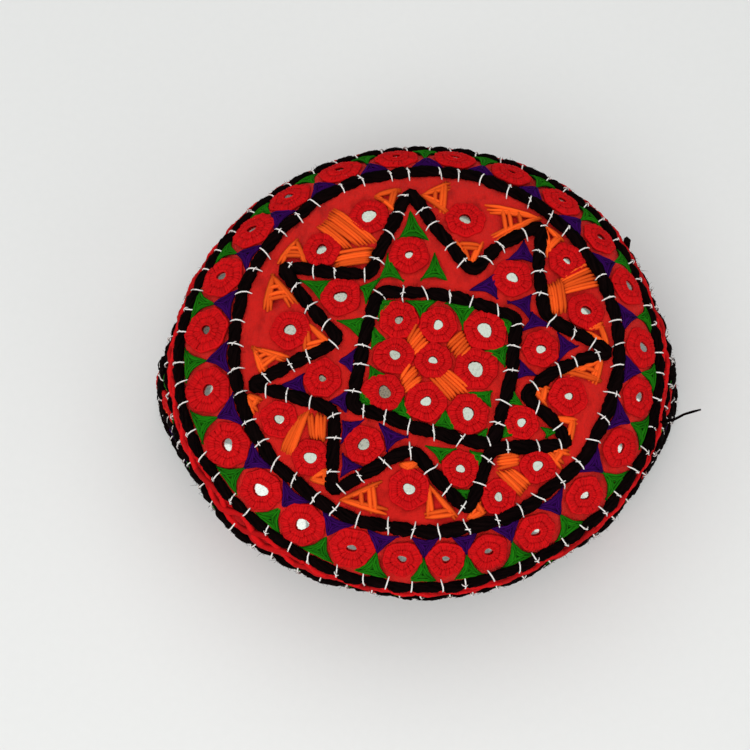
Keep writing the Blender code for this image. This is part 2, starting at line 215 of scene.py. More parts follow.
ORANGE = (
    (-46.6, 40.8, -53.5, 31.6, -42.2, 29.6), (-17.1, 58.1, -7.3, 61.5, -10.4, 51.7),
    (-0.2, 58.2, 10.4, 63.8, 9.4, 50.3), (43.6, 49.5, 26.6, 38.7, 24.9, 54.2),
    (17.4, 27.3, 12.5, 39.2, 22.5, 38.2), (46.1, 46.2, 52.6, 40.6, 46.2, 32.6),
    (59.5, 4.6, 66.1, 7.8, 68.3, -1.7), (64.7, -5.7, 50.3, -12.2, 62.4, -15.6),
    (37.8, -17.2, 45.8, -17.6, 43.8, -24.3), (45.9, -28.9, 55.7, -29.2, 52.2, -38.7),
    (42.4, -39.7, 52.5, -40.4, 48.4, -45.9), (15.7, -64.6, 22.1, -61.8, 18.9, -57.7),
    (-29.2, -58.2, -15.4, -51.5, -14.3, -62.9), (1.6, -53.4, 11.4, -64.0, 1.2, -65.4),
    (-8.6, -45.7, -1.2, -45.4, -4.8, -48.5), (-63.4, -19.5, -57.9, -21.3, -61.1, -26.3),
    (-40.2, -50.3, -33.8, -46.3, -33.8, -52.6), (-55.2, 26.4, -58.2, 12.9, -46.0, 14.9),
    (-42.2, 6.1, -32.3, -3.1, -42.4, -4.6), (-61.6, -1.6, -47.5, -6.3, -58.4, -12.4),
)

# Blocks of side by side orange threads: where the first and the last one start, where they end, and
# how many threads there are
ORANGE_BLOCKS = (
    (-1.9, 5.9, 2.0, -1.3, -6.0, -1.7, -3.8, -6.6, 6),
    (14.3, 2.9, 17.1, -2.8, 8.4, -2.8, 12.0, -8.4, 6),
    (-3.9, -9.2, -0.7, -15.2, -8.5, -15.5, -6.8, -20.3, 6),
    (7.6, -11.5, 2.2, -14.8, 16.8, -19.5, 9.6, -23.2, 7),
    (-33.3, 53.4, -38.8, 45.8, -16.4, 38.1, -28.6, 36.0, 10),
    (-17.9, 35.6, -18.6, 30.3, -32.3, 33.2, -32.6, 28.3, 7),
    (62.4, 31.7, 66.1, 23.4, 50.7, 24.3, 50.8, 18.6, 7),
    (50.7, 24.7, 46.1, 22.0, 51.9, 11.2, 47.0, 9.7, 6),
    (25.8, -42.3, 25.8, -47.2, 33.7, -41.8, 34.0, -44.9, 5),
    (30.4, -46.8, 25.7, -48.3, 37.5, -52.2, 33.9, -56.4, 6),
    (-40.8, -25.4, -44.7, -27.8, -47.1, -42.7, -51.1, -40.4, 8),
    (-35.0, -27.1, -41.1, -26.8, -35.3, -37.1, -40.3, -36.2, 6),
)

# The two rows of stitches of a rosette: how many there are, the shares of its radius at which they
# start (0 is at its hole) and end, and their heights on the way out
THREAD_ROWS = (
    (28, 0.0, 0.61, (1.5, 1.42, 1.62, 1.15)),
    (42, 0.57, 0.98, (1.15, 1.55, 1.5, 0.6)),
)

# The padding under them: the share of the way from the hole to the edge, and the height
PAD_OUTLINE = (
    (0, -0.2), (0, 1.3), (0.3, 1.4), (0.5, 1.1), (0.75, 1.3), (0.95, 0.8), (1.0, -0.2),
)

# The strip over the seam: the distance from the seam, and the height
SEAM_STRIP_OUTLINE = (
    (-2.5, -0.2), (-2.1, 0.6), (0.0, 0.9), (2.1, 0.6), (2.5, -0.2), (0.0, -0.3),
)

# Loose ends of yarn: directions in degrees, runs and heights along each, and its radius
LOOSE_ENDS = (
    ((-17.5, -17.2, -16.4, -15.4, -14.8, -14.2), (98, 97.5, 97, 96, 95.5, 95.5),
     (1.0, 4.0, 7.5, 11.0, 14.5, 17.5), 0.5),
    ((31.0, 31.2, 31.6, 32.0, 32.3, 32.4), (100, 99.5, 99, 98.5, 98, 98),
     (0.5, 1.3, 2.1, 3.0, 3.8, 4.5), 1.5),
)

# Lights: place and width in metres, and power in watts
LIGHTS = (
    ("window", (-1.5, -0.95, 0.55), 1.6, 5.4),
    ("ceiling", (-0.1, 0.1, 1.5), 3.0, 22.0),
    ("front", (-0.3, -0.85, 1.1), 0.8, 6.0),
    ("fill", (1.3, -0.8, 0.7), 1.4, 5.0),
)
CAMERA_ELEVATION = math.radians(73)
CAMERA_DISTANCE = 0.576
CAMERA_TARGET = (-0.0175, -0.0043, 0.048)
CAMERA_LENS = 72.86


def section_rows():
    """The table with a mirrored row before the top, and a row that carries on below the hem."""
    rows = [list(row) for row in SECTIONS]
    first = rows[1].copy()
    first[0], first[2], first[3] = -first[0], -first[2], -first[3]
    last = [2 * a - b for a, b in zip(rows[-1], rows[-2])]
    return np.array([first, *rows, last])


ROWS = section_rows()


def section(run):
    """The columns of the table at each run, on a smooth curve through its rows."""
    run = np.asarray(run, float)
    index = np.clip(np.searchsorted(ROWS[:, 0], run) - 1, 1, len(ROWS) - 3)
    a, b, c, d = (ROWS[index + k] for k in (-1, 0, 1, 2))
    span = (c - b)[..., :1]
    t = (run[..., None] - b[..., :1]) / span
    slope_b = (c - a) / (c - a)[..., :1] * span
    slope_c = (d - b) / (d - b)[..., :1] * span
    found = ((2 * t**3 - 3 * t**2 + 1) * b + (t**3 - 2 * t**2 + t) * slope_b
             + (3 * t**2 - 2 * t**3) * c + (t**3 - t**2) * slope_c)
    return found[..., 1:]


def on_cloth(turn, run):
    """Points of the outer cloth, in millimetres."""
    height, half_length, half_width, shift, saddle, crease = np.moveaxis(section(run), -1, 0)
    across = np.sin(turn)
    pinched = np.abs(across) ** (1 + np.maximum(crease, 0))
    out = bulge(turn, run)
    return np.stack([shift + (half_length + out) * np.cos(turn),
                     half_width * np.copysign(pinched, across) + out * across,
                     height + saddle * np.cos(2 * turn)], -1)


def bulge(turn, run):
    """How far the cloth stands out beyond the sections, in millimetres."""
    turn, run = np.broadcast_arrays(np.degrees(turn) % 360, run)
    table = np.array(BULGES)
    k = np.clip(np.searchsorted(table[:, 0], turn, "right") - 1, 0, len(table) - 2)
    t = eased((turn - table[k, 0]) / (table[k + 1, 0] - table[k, 0]))[..., None]
    columns = np.zeros((*turn.shape, 5))
    columns[..., 1:4] = table[k, 1:] * (1 - t) + table[k + 1, 1:] * t
    k = np.clip(np.searchsorted(BULGE_RUNS, run) - 1, 0, 3)
    t = eased(np.clip((run - BULGE_RUNS[k]) / (BULGE_RUNS[k + 1] - BULGE_RUNS[k]), 0, 1))
    above, below = (np.take_along_axis(columns, (k + step)[..., None], -1)[..., 0]
                    for step in (0, 1))
    return above * (1 - t) + below * t


def eased(t):
    return t * t * (3 - 2 * t)


def outward(turn, run):
    """The cloth's outward normals."""
    run = np.maximum(run, NEAR_TOP)
    along = on_cloth(turn, run + STEP) - on_cloth(turn, run - STEP)
    around = on_cloth(turn + STEP, run) - on_cloth(turn - STEP, run)
    return unit(np.cross(along, around))


def unit(vectors):
    return vectors / np.linalg.norm(vectors, axis=-1, keepdims=True)


def place(turn, run, lift):
    """Points this far above the cloth, in metres."""
    turn, run, lift = np.broadcast_arrays(np.asarray(turn, float), np.asarray(run, float), lift)
    return (on_cloth(turn, run) + outward(turn, run) * lift[..., None]) * MM


def hem_run(turn):
    """The run of the hem, which is shorter over the forehead arch."""
    off = gap_round(turn, FRONT, math.tau) / ARCH_HALF_SPAN
    rise = ARCH_RISE * (0.5 + 0.5 * np.cos(math.pi * np.minimum(off, 1))) ** ARCH_FULLNESS
    return HEM_RUN - rise


def hem_cord_run(turn):
    return hem_run(turn) - HEM_CORD_FROM_EDGE


def gap_round(a, b, total):
    """How far apart two places on a closed line are."""
    return np.abs((a - b + total / 2) % total - total / 2)


def down_wall(turn, run):
    """A run down the wall as cut straight, shortened where the arch lifts the hem."""
    share = (hem_run(turn) - SIDE_RUN) / (HEM_RUN - SIDE_RUN)
    return np.where(run <= SIDE_RUN, run, SIDE_RUN + (run - SIDE_RUN) * share)


def under(x, y):
    """The turn and run of the cloth under points of the top, seen from above."""
    x, y = np.asarray(x, float), np.asarray(y, float)
    low, high = np.zeros(x.shape), np.full(x.shape, SIDE_RUN)
    for _ in range(24):
        run = (low + high) / 2
        _, half_length, half_width, shift, _, _ = np.moveaxis(section(run), -1, 0)
        outside = ((x - shift) / half_length) ** 2 + (y / half_width) ** 2 > 1
        low, high = np.where(outside, run, low), np.where(outside, high, run)
    return np.arctan2(y / half_width, (x - shift) / half_length), run


def near_top_spot(x, y, right_mm, back_mm):
    """Turns and runs of points at a distance from a spot of the top, along the cloth there."""
    turn, run = under(x, y)
    middle, normal = on_cloth(turn, run), outward(turn, run)
    right = unit(np.cross(normal, (0, -1, 0)))
    back = np.cross(normal, right)
    seen = middle + right * right_mm[..., None] + back * back_mm[..., None]
    return under(seen[..., 0], seen[..., 1])


def near_round_spot(turn, run, along_mm, down_mm):
    """The same for a spot of the shoulder or the wall, with distances round the cap and down it."""
    here = run + down_mm
    wide = on_cloth(turn + STEP, here) - on_cloth(turn - STEP, here)
    return turn + along_mm * 2 * STEP / np.linalg.norm(wide, axis=-1), here


# Shaders

class Field:
    """A value that changes over a surface, with arithmetic that adds Math nodes."""

    def __init__(self, look, socket):
        self.look = look
        self.socket = socket

    def math(self, operation, a, b):
        return self.look.node("ShaderNodeMath", {"operation": operation}, "Value", {0: a, 1: b})

    def __add__(self, other):
        return self.math("ADD", self, other)

    def __sub__(self, other):
        return self.math("SUBTRACT", self, other)

    def __rsub__(self, other):
        return self.math("SUBTRACT", other, self)

    def __mul__(self, other):
        return self.math("MULTIPLY", self, other)

    def sine(self):
        return self.math("SINE", self, 0.0)

    __radd__ = __add__
    __rmul__ = __mul__


class Look:
    """A material with one shader, built from nodes."""

    def __init__(self, name, **constants):
        self.material = bpy.data.materials.new(name)
        self.material.use_nodes = True
        self.tree = self.material.node_tree
        self.surface = self.tree.nodes["Principled BSDF"]
        for key, value in constants.items():
            self.surface.inputs[key.replace("_", " ")].default_value = value

    def node(self, kind, settings, output, inputs):
        """One node: its settings, then its inputs as values or links. Gives one of its outputs."""
        node = self.tree.nodes.new(kind)
        for key, value in settings.items():
            if key == "stops":
                self.set_stops(node.color_ramp, value)
            else:
                setattr(node, key, value)
        for key, value in inputs.items():
            if isinstance(value, Field):
                self.tree.links.new(value.socket, node.inputs[key])
            else:
                node.inputs[key].default_value = value
        return Field(self, node.outputs[output])

    def set_stops(self, ramp, stops):
        for index, (position, colour) in enumerate(stops):
            stop = ramp.elements[index] if index < 2 else ramp.elements.new(position)
            stop.position = position
            stop.color = (*colour, 1.0)

    def feed(self, socket, field):
        self.tree.links.new(field.socket, self.surface.inputs[socket])

    def attribute(self, name, output):
        return self.node("ShaderNodeAttribute", {"attribute_name": name}, output, {})

    def noise(self, vector, scale, detail, roughness=0.5):
        """Noise of one scale, or of a scale for each axis."""
        if isinstance(scale, tuple):
            vector = self.node("ShaderNodeMapping", {}, "Vector", {"Vector": vector, "Scale": scale})
            scale = 1.0
        return self.node("ShaderNodeTexNoise", {}, "Fac", {
            "Vector": vector, "Scale": scale, "Detail": detail, "Roughness": roughness})

    def mixed(self, a, b, share, blend="MIX"):
        """Colours a and b mixed. A colour is a triple or a link."""
        a, b = (c if isinstance(c, Field) else (*c, 1.0) for c in (a, b))
        return self.node("ShaderNodeMix", {"data_type": "RGBA", "blend_type": blend}, 2,
                         {0: share, 6: a, 7: b})

    def bumped(self, height, strength, distance):
        self.feed("Normal", self.node("ShaderNodeBump", {}, "Normal", {
            "Height": height, "Strength": strength, "Distance": distance}))


def scaled(colour, share):
    return tuple(channel * share for channel in colour)


def cotton_look(name, colour):
    """Woven cotton: fine threads both ways, slubs, broad painted light and shade in place of folds, and
    painted shade in the creases.
    """
    look = Look(name, Roughness=0.9, Specular_IOR_Level=0.12, Sheen_Weight=0.04, Sheen_Roughness=0.4)
    cloth = look.node("ShaderNodeUVMap", {"uv_map": "cloth"}, "UV", {})
    axes = look.node("ShaderNodeSeparateXYZ", {}, "X", {"Vector": cloth})
    across = Field(look, axes.socket.node.outputs["Y"])
    threads = math.tau / 0.42
    weave = (axes * threads).sine() * (across * threads).sine()
    slubs = (look.noise(cloth, (0.25, 2.2, 1.0), 3) + look.noise(cloth, (2.2, 0.25, 1.0), 3)) * 0.5
    # soft is broad painted light and shade: lighter and darker patches that stand in for the cloth's
    # folds
    soft = look.noise(cloth, 0.05, 3)
    tone = look.mixed(scaled(colour, 0.74), scaled(colour, 1.2), slubs * 0.6 + soft * 0.4)
    # The crease noise dents the cloth and also darkens its colour in the dents: painted shade in the
    # creases
    creases = look.noise(cloth, (0.16, 0.1, 1.0), 3, 0.6)
    shaded = look.mixed(tone, (0.5, 0.35, 0.35), 1.75 - creases * 3.4, "MULTIPLY")
    look.feed("Base Color", shaded)
    look.feed("Roughness", 0.78 + slubs * 0.15)
    look.bumped(creases + (weave * 0.35 + slubs * 0.65) * 0.1, 0.9, 0.0034)
    return look.material


def thread_look(name, colour, shine=0.08, contrast=0.3, furrow_shade=0.38):
    """Stranded thread: fibres that twist along each strand, strands that differ, and painted shade on
    each strand's low sides that darkens the furrows between them.
    """
    look = Look(name, Roughness=0.8, Specular_IOR_Level=shine)
    fibre = look.attribute("fibre", "Vector")
    shade = look.attribute("shade", "Fac")
    fine = look.noise(fibre, (3.2, 3.2, 0.5), 3)
    tone = look.mixed(scaled(colour, 1 - contrast), scaled(colour, 1 + contrast),
                      shade * 0.6 + fine * 0.4)
    # Painted shade: each strand's colour is darkened on its low sides, by its crest, so that the
    # furrows between strands look dark
    low_side_shade = 1.3 - look.attribute("crest", "Fac") * 1.6
    look.feed("Base Color", look.mixed(tone, scaled((1, 0.75, 0.75), furrow_shade), low_side_shade, "MULTIPLY"))
    look.feed("Roughness", 0.72 + fine * 0.16)
    look.bumped(fine, 0.6, 0.00025)
    return look.material


def yarn_look(name, colour):
    """Thick soft yarn: coarse fibres along the cord, and lighter fluff on the ridges."""
    look = Look(name, Roughness=0.95, Specular_IOR_Level=0.015)
    fibre = look.attribute("fibre", "Vector")
    coarse = look.noise(fibre, (1.4, 1.4, 0.14), 4)
    fluff = look.noise(fibre, (4.0, 4.0, 1.6), 2)
    tone = look.mixed(scaled(colour, 0.0), scaled(colour, 3.4), coarse * 1.6 + fluff * 0.4 - 0.6)
    look.feed("Base Color", tone)
    look.bumped(coarse * 0.7 + fluff * 0.3, 0.8, 0.0006)
    return look.material


def mirror_look(name, silver):
    """Small cut mirrors, some of them dulled and browned, with faint smears."""
    look = Look(name, Metallic=1.0, Roughness=0.08)
    where = look.node("ShaderNodeTexCoord", {}, "Object", {})
    dull = look.attribute("dull", "Fac")
    smears = look.noise(where, 900.0, 3)
    flakes = look.node("ShaderNodeValToRGB", {"stops": ((0.5, (1, 1, 1)), (0.58, (0.3, 0.29, 0.27)))},
                       "Color", {"Fac": look.noise(where, 1500.0, 4, 0.7)})
    worn = look.mixed(silver, (0.19, 0.145, 0.085), dull)
    chipped = look.mixed(worn, look.mixed(worn, flakes, 1.0, "MULTIPLY"), 0.25 + dull * 0.75)
    look.feed("Base Color", look.mixed(chipped, (0.3, 0.31, 0.3), smears * 0.4))
    look.feed("Roughness", 0.05 + smears * 0.14 + dull * 0.12)
    return look.material


def floor_look(name, colour):
    """Plain pale card."""
    look = Look(name, Roughness=0.75)
    where = look.node("ShaderNodeTexCoord", {}, "Object", {})
    grain = look.noise(where, 300.0, 3)
    broad = look.noise(where, 3.0, 2)
    tone = look.mixed(scaled(colour, 0.97), scaled(colour, 1.03), grain * 0.5 + broad * 0.5)
    look.feed("Base Color", tone)
    return look.material


# Making pieces

def added(name, data):
    """A new object in the scene."""
    item = bpy.data.objects.new(name, data)
    bpy.context.scene.collection.objects.link(item)
    return item


def settled(mesh, look, nodes=()):
    """A finished mesh as a piece that rides on the cap, in place of these nodes."""
    mesh.materials.append(look)
    mesh.shade_smooth()
    piece = added(mesh.name, mesh)
    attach(piece, "root")
    if nodes:
        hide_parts(*nodes)


def turned(outline, closed, steps):
    """The outline of (radius, height) pairs turned once round Z, as a bmesh."""
    bm = bmesh.new()
    corners = [bm.verts.new((radius, 0.0, height)) for radius, height in outline]
    pairs = list(zip(corners, corners[1:]))
    if closed:
        pairs.append((corners[-1], corners[0]))
    edges = [bm.edges.new(pair) for pair in pairs]
    bmesh.ops.spin(bm, geom=corners + edges, cent=(0, 0, 0), axis=(0, 0, 1), steps=steps,
                   angle=math.tau, use_merge=True)
    bmesh.ops.remove_doubles(bm, verts=bm.verts, dist=STEP)
    bmesh.ops.recalc_face_normals(bm, faces=bm.faces)
    return bm


def as_mesh(bm, name):
    mesh = bpy.data.meshes.new(name)
    bm.to_mesh(mesh)
    bm.free()
    return mesh


def read(items, field, width, kind=np.float32):
    """One field of a mesh's points, corners or faces, as an array."""
    values = np.empty((len(items), width), kind)
    items.foreach_get(field, values.ravel())
    return values


def points_of(mesh):
    return read(mesh.vertices, "co", 3).astype(float)


def polar(points):
    """The directions and distances of points from the Z axis."""
    return np.arctan2(points[:, 1], points[:, 0]), np.hypot(points[:, 0], points[:, 1])


def put_points(mesh, points):
    """Moves a mesh's points, none under the floor. Its faces are turned the right way out again."""
    points = np.array(points, np.float32)
    points[:, 2] = np.maximum(points[:, 2], 0)
    mesh.vertices.foreach_set("co", points.ravel())
    bm = bmesh.new()
    bm.from_mesh(mesh)
    bmesh.ops.recalc_face_normals(bm, faces=bm.faces)
    bm.to_mesh(mesh)
    bm.free()
    mesh.update()


def put_attribute(mesh, name, kind, values):
    attribute = mesh.attributes.new(name, kind, "POINT")
    field = "vector" if kind == "FLOAT_VECTOR" else "value"
    attribute.data.foreach_set(field, np.asarray(values, np.float32).ravel())


def put_cloth_map(mesh, turn, run, flat_top):
    """A UV map in millimetres on the cloth: cut as a disc on the top, or as a strip round the wall."""
    corners = read(mesh.loops, "vertex_index", 1, np.int32)[:, 0]
    if flat_top:
        flat = np.stack([run * np.cos(turn), run * np.sin(turn)], -1)[corners]
    else:
        flat = np.stack([turn, run], -1)[corners]
        starts = read(mesh.polygons, "loop_start", 1, np.int32)[:, 0]
        highest = np.maximum.reduceat(flat[:, 0], starts)
        face = np.repeat(np.arange(len(starts)), np.diff([*starts, len(corners)]))
        flat[:, 0] += np.where(highest[face] - flat[:, 0] > math.pi, math.tau, 0.0)
        flat[:, 0] *= SIDE_RUN
    layer = mesh.uv_layers.new(name="cloth")
    layer.data.foreach_set("uv", flat.astype(np.float32).ravel())


def repeated(name, template, count):
    """A mesh of count copies of a template, one after the other, and the template's own points."""
    single = as_mesh(template, "single")
    bm = bmesh.new()
    bm.from_mesh(single)
    bpy.data.meshes.remove(single)
    each = len(bm.verts)
    while len(bm.verts) < each * count:
        bmesh.ops.duplicate(bm, geom=bm.verts[:] + bm.edges[:] + bm.faces[:])
    bm.verts.ensure_lookup_table()
    bmesh.ops.delete(bm, geom=bm.verts[each * count:], context="VERTS")
    mesh = as_mesh(bm, name)
    return mesh, points_of(mesh)[:each]


def straight_strand(levels, sides):
    """A closed strand from z = 0 to 1, with rings of points at evenly spaced levels."""
    bm = bmesh.new()
    bmesh.ops.create_cone(bm, cap_ends=True, segments=sides, radius1=1, radius2=1, depth=1,
                          matrix=Matrix.Translation((0, 0, 0.5)))
    for level in range(1, levels - 1):
        bmesh.ops.bisect_plane(bm, geom=bm.verts[:] + bm.edges[:] + bm.faces[:],
                               plane_co=(0, 0, level / (levels - 1)), plane_no=(0, 0, 1))
    return bm


RING_RADIUS = 10


def ring_strand(stations, sides):
    """A closed ring of thread: a circle of radius 1, turned at the template's distance."""
    around = np.arange(sides) * math.tau / sides
    outline = [(RING_RADIUS + math.cos(a), math.sin(a)) for a in around]
    return turned(outline, True, stations)


def strand_mesh(name, points, normals, radii, sides, closed, twist=1.2, flat=1.0):
    """Many strands at once. points are in metres, (strands, stations, 3), and radii match them."""
    count, stations = points.shape[:2]
    template = (ring_strand if closed else straight_strand)(stations, sides)
    mesh, shape = repeated(name, template, count)
    if closed:
        turn, distance = polar(shape)
        station = np.rint(turn / math.tau * stations).astype(int) % stations
        aside, above = distance - RING_RADIUS, shape[:, 2]
        ahead = np.roll(points, -1, 1) - np.roll(points, 1, 1)
        steps = np.linalg.norm(np.roll(points, -1, 1) - points, axis=-1)
        travelled = np.cumsum(steps, 1) - steps
    else:
        station = np.rint(shape[:, 2] * (stations - 1)).astype(int)
        aside, above = shape[:, 0], shape[:, 1]
        ahead = np.gradient(points, axis=1)
        steps = np.linalg.norm(np.diff(points, axis=1), axis=-1)
        travelled = np.concatenate([np.zeros((count, 1)), np.cumsum(steps, 1)], 1)
    ahead = unit(ahead)
    side = unit(np.cross(ahead, normals))
    up = np.cross(side, ahead)
    radius = radii[:, station][..., None]
    moved = (points[:, station] + side[:, station] * radius * aside[:, None]
             + up[:, station] * radius * above[:, None] * flat)
    put_points(mesh, moved.reshape(-1, 3))
    along = travelled[:, station] / MM
    rng = np.random.default_rng(SEED)
    angle = np.arctan2(above, aside) + along * twist
    thick = radii[:, station] / MM
    fibre = np.stack([np.cos(angle) * thick, np.sin(angle) * thick,
                      along + rng.uniform(0, 500, (count, 1))], -1)
    put_attribute(mesh, "fibre", "FLOAT_VECTOR", fibre)
    put_attribute(mesh, "shade", "FLOAT", np.repeat(rng.uniform(0, 1, count), len(shape)))
    # crest tells how high round its strand each point lies; thread_look reads it to paint shade on the
    # low sides
    put_attribute(mesh, "crest", "FLOAT", np.tile(above, count))
    return mesh


class Threads:
    """Short threads collected from several places of the cap, all with the same stations."""

    def __init__(self):
        self.laid, self.seen = [], []

    def add(self, turn, run, lift, radius):
        """Threads on the map, as arrays (threads, stations)."""
        self.laid.append(stacked(turn, run, lift, radius))

    def add_seen(self, x, y, lift, radius):
        """Threads on the top, as seen from above."""
        self.seen.append(stacked(x, y, lift, radius))

    def piece(self, name, look, sides, closed=False, nodes=(), flat=1.0):
        if self.seen:
            x, y, lift, radius = np.concatenate(self.seen, 1)
            self.add(*under(x, y), lift, radius)
        turn, run, lift, radius = np.concatenate(self.laid, 1)
        mesh = strand_mesh(name, place(turn, run, lift), outward(turn, run), radius * MM, sides,
                           closed, flat=flat)
        settled(mesh, look, nodes)


def stacked(*columns):
    """Values at the stations of threads, as one array (columns, threads, stations)."""
    columns = np.stack(np.broadcast_arrays(*columns))
    return columns.reshape(len(columns), -1, columns.shape[-1])


# Routes of the cords, on the map

def rounded(corner, before, after):
    """Three points that take a flat corner round."""
    to_before, to_after = unit(before - corner) * ROUNDING, unit(after - corner) * ROUNDING
    return [corner + to_before, corner + (to_before + to_after) / 4, corner + to_after]


def bowed(start, end, bow):
    """The middle of a leg that bows to its left."""
    along = unit(end - start)
    return (start + end) / 2 + np.array((-along[1], along[0])) * bow


def cut(points, after):
    """A quarter and three quarters of the way from each point to the one after it."""
    both = np.stack([points * 0.75 + after * 0.25, points * 0.25 + after * 0.75], 1)
    return both.reshape(-1, 2)


def on_map(points):
    """A closed line of the top with its corners cut, again and again, as turns and runs."""
    points = np.array(points)
    for _ in range(3):
        points = cut(points, np.roll(points, -1, 0))
    return np.stack(under(*points.T), -1)


def star_line():
    tips, valleys, bows = np.split(np.array(STAR), (2, 4), 1)
    flat = []
    for k, (tip, valley, (bow_in, bow_out)) in enumerate(zip(tips, valleys, bows)):
        last, following = valleys[k - 1], tips[(k + 1) % len(tips)]
        flat += [bowed(last, tip, bow_in), *rounded(tip, last, valley),
                 bowed(tip, valley, bow_out), *rounded(valley, tip, following)]
    return on_map(flat)


def square_line():
    corners, middles = np.split(np.array(SQUARE), 2, 1)
    flat = []
    for k, (corner, middle) in enumerate(zip(corners, middles)):
        flat += [*rounded(corner, middles[k - 1], middle), middle]
    return on_map(flat)


ROUND = np.arange(720) * math.tau / 720


def ring_line(run):
    """A ring at one run, or at a run for each direction of ROUND."""
    return np.stack(np.broadcast_arrays(ROUND, run), -1)


def zigzag_turns():
    """The directions of the zigzag's turning points, the first one at the top."""
    return [FRONT + math.pi * k / TEETH for k in range(2 * TEETH)]


def zigzag_ends(turn):
    """The runs of the zigzag's upper and lower turning points there."""
    return ZIGZAG_TOP_RUN, hem_cord_run(turn) - ZIGZAG_FROM_HEM_CORD


def zigzag_line():
    corners = [np.array((turn, zigzag_ends(turn)[k % 2])) for k, turn in enumerate(zigzag_turns())]
    wrap = np.array((math.tau, 0))
    befores = [corners[-1] - wrap, *corners]
    afters = [*corners[1:], corners[0] + wrap]
    line = []
    for before, corner, after in zip(befores, corners, afters):
        line += [corner + (before - corner) * 0.1, corner, corner + (after - corner) * 0.1]
    line = np.array([line[-1] - wrap, *line, line[0] + wrap])
    for _ in range(2):
        line = cut(line[:-1], line[1:])
    return line[line[:, 0] < line[0, 0] + math.tau - STEP]


def evenly(line):
    """A closed line at even steps of about 1 mm over the cloth: turns, runs, distances and length."""
    turn, run = np.unwrap(line[:, 0]), line[:, 1]
    total_turn = math.tau * round((turn[-1] - turn[0]) / math.tau)
    turn, run = np.append(turn, turn[0] + total_turn), np.append(run, run[0])
    steps = np.linalg.norm(np.diff(on_cloth(turn, run), axis=0), axis=1)
    reached = np.concatenate([[0], np.cumsum(steps)])
    total = reached[-1]
    along = np.arange(int(total)) * total / int(total)
    return np.interp(along, reached, turn), np.interp(along, reached, run), along, total


CORD_LINES = {
    "inner_ring_cord": lambda: ring_line(INNER_RING_RUN),
    "rim_cord": lambda: ring_line(RIM_RUN),
    "side_cord": lambda: ring_line(SIDE_RUN),
    "hem_cord": lambda: ring_line(hem_cord_run(ROUND)),
    "star_cord": star_line,
    "square_cord": square_line,
    "zigzag_cord": zigzag_line,
}

# How far a cord strays to its sides, in millimetres, where it isn't 0.4
WANDER = {"rim_cord": 0.8, "side_cord": 0.7, "inner_ring_cord": 0.6}

# How deep a cord is pinched by its stitches, as a share of its width, and for how many millimetres
# beside each, where it isn't 0.3 and 1.4
PINCH = {"rim_cord": (0.4, 1.6), "side_cord": (0.6, 2.8)}

# How much further apart the stitches of the wall are
SPARSER = {"zigzag_cord": 1.6, "hem_cord": 1.3}


def stitch_places(total, spacing, seed):
    """Distances along a closed cord at which it is stitched down, a little uneven."""
    rng = np.random.default_rng(seed)
    count = max(4, round(total / spacing))
    return (np.arange(count) + rng.uniform(-0.16, 0.16, count)) * total / count % total


Path = namedtuple("Path", "points ahead normals along total stitches")


def cord_path(name, sizes):
    """A cord's way over the cloth: its points, directions and normals, and where it is stitched."""
    seed = list(CORD_LINES).index(name)
    turn, run, along, total = evenly(CORD_LINES[name]())
    points, normals = place(turn, run, 0.0), outward(turn, run)
    rng = np.random.default_rng(seed + 50)
    stray = slow_noise(rng, along, total, 9) * WANDER.get(name, 0.4) * MM
    points = points + np.cross(directions(points), normals) * stray[:, None]
    stitches = stitch_places(total, sizes.stitch_spacing / MM * SPARSER.get(name, 1.0), seed)
    return Path(points, directions(points), normals, along, total, stitches)


def directions(points):
    """The directions of a closed line at its points."""
    return unit(np.roll(points, -1, 0) - np.roll(points, 1, 0))


# What a user may change

def size_setting(name, millimetres, description):
    return bpy.props.FloatProperty(name=name, description=description, default=millimetres * MM,
                                   unit="LENGTH", subtype="DISTANCE")


def colour_setting(name, default, description):
    return bpy.props.FloatVectorProperty(name=name, description=description, default=default,
                                         subtype="COLOR", size=3, min=0, max=1)


class TopiSizes(bpy.types.PropertyGroup):
    cord_width: size_setting("Cord width", 4.55, "Width of the black cords as they lie on the cloth")
    cord_height: size_setting("Cord height", 3.0, "Height of the black cords above the cloth")
    stitch_spacing: size_setting("Stitch spacing", 9.4, "Distance between white stitches along a cord")
    stitch_thread: size_setting("Stitch thread", 0.56, "Thickness of the white thread")
    filling_thread: size_setting("Filling thread", 1.0, "Thickness of the triangles' coloured threads")


class TopiColours(bpy.types.PropertyGroup):
    cloth: colour_setting("Cloth", (0.72, 0.0135, 0.009), "Red cotton of the cap")
    rosettes: colour_setting("Rosettes", (0.5, 0.003, 0.0045), "Red thread of the rosettes")
    green: colour_setting("Green", (0.009, 0.135, 0.0025), "Green thread")
    purple: colour_setting("Purple", (0.026, 0.001, 0.068), "Purple thread")
    orange: colour_setting("Orange", (0.77, 0.089, 0.01), "Orange thread")
    yarn: colour_setting("Yarn", (0.002, 0.0008, 0.0008), "Black yarn of the cords")
    white: colour_setting("White", (0.8, 0.78, 0.74), "White thread of the stitches")
    floor: colour_setting("Floor", (0.7, 0.705, 0.69), "Card that the cap stands on")


def chosen(name):
    """A colour as it is set now."""
    return tuple(getattr(bpy.context.scene.topi_colours, name))


# Operators, one for each piece or group of like pieces

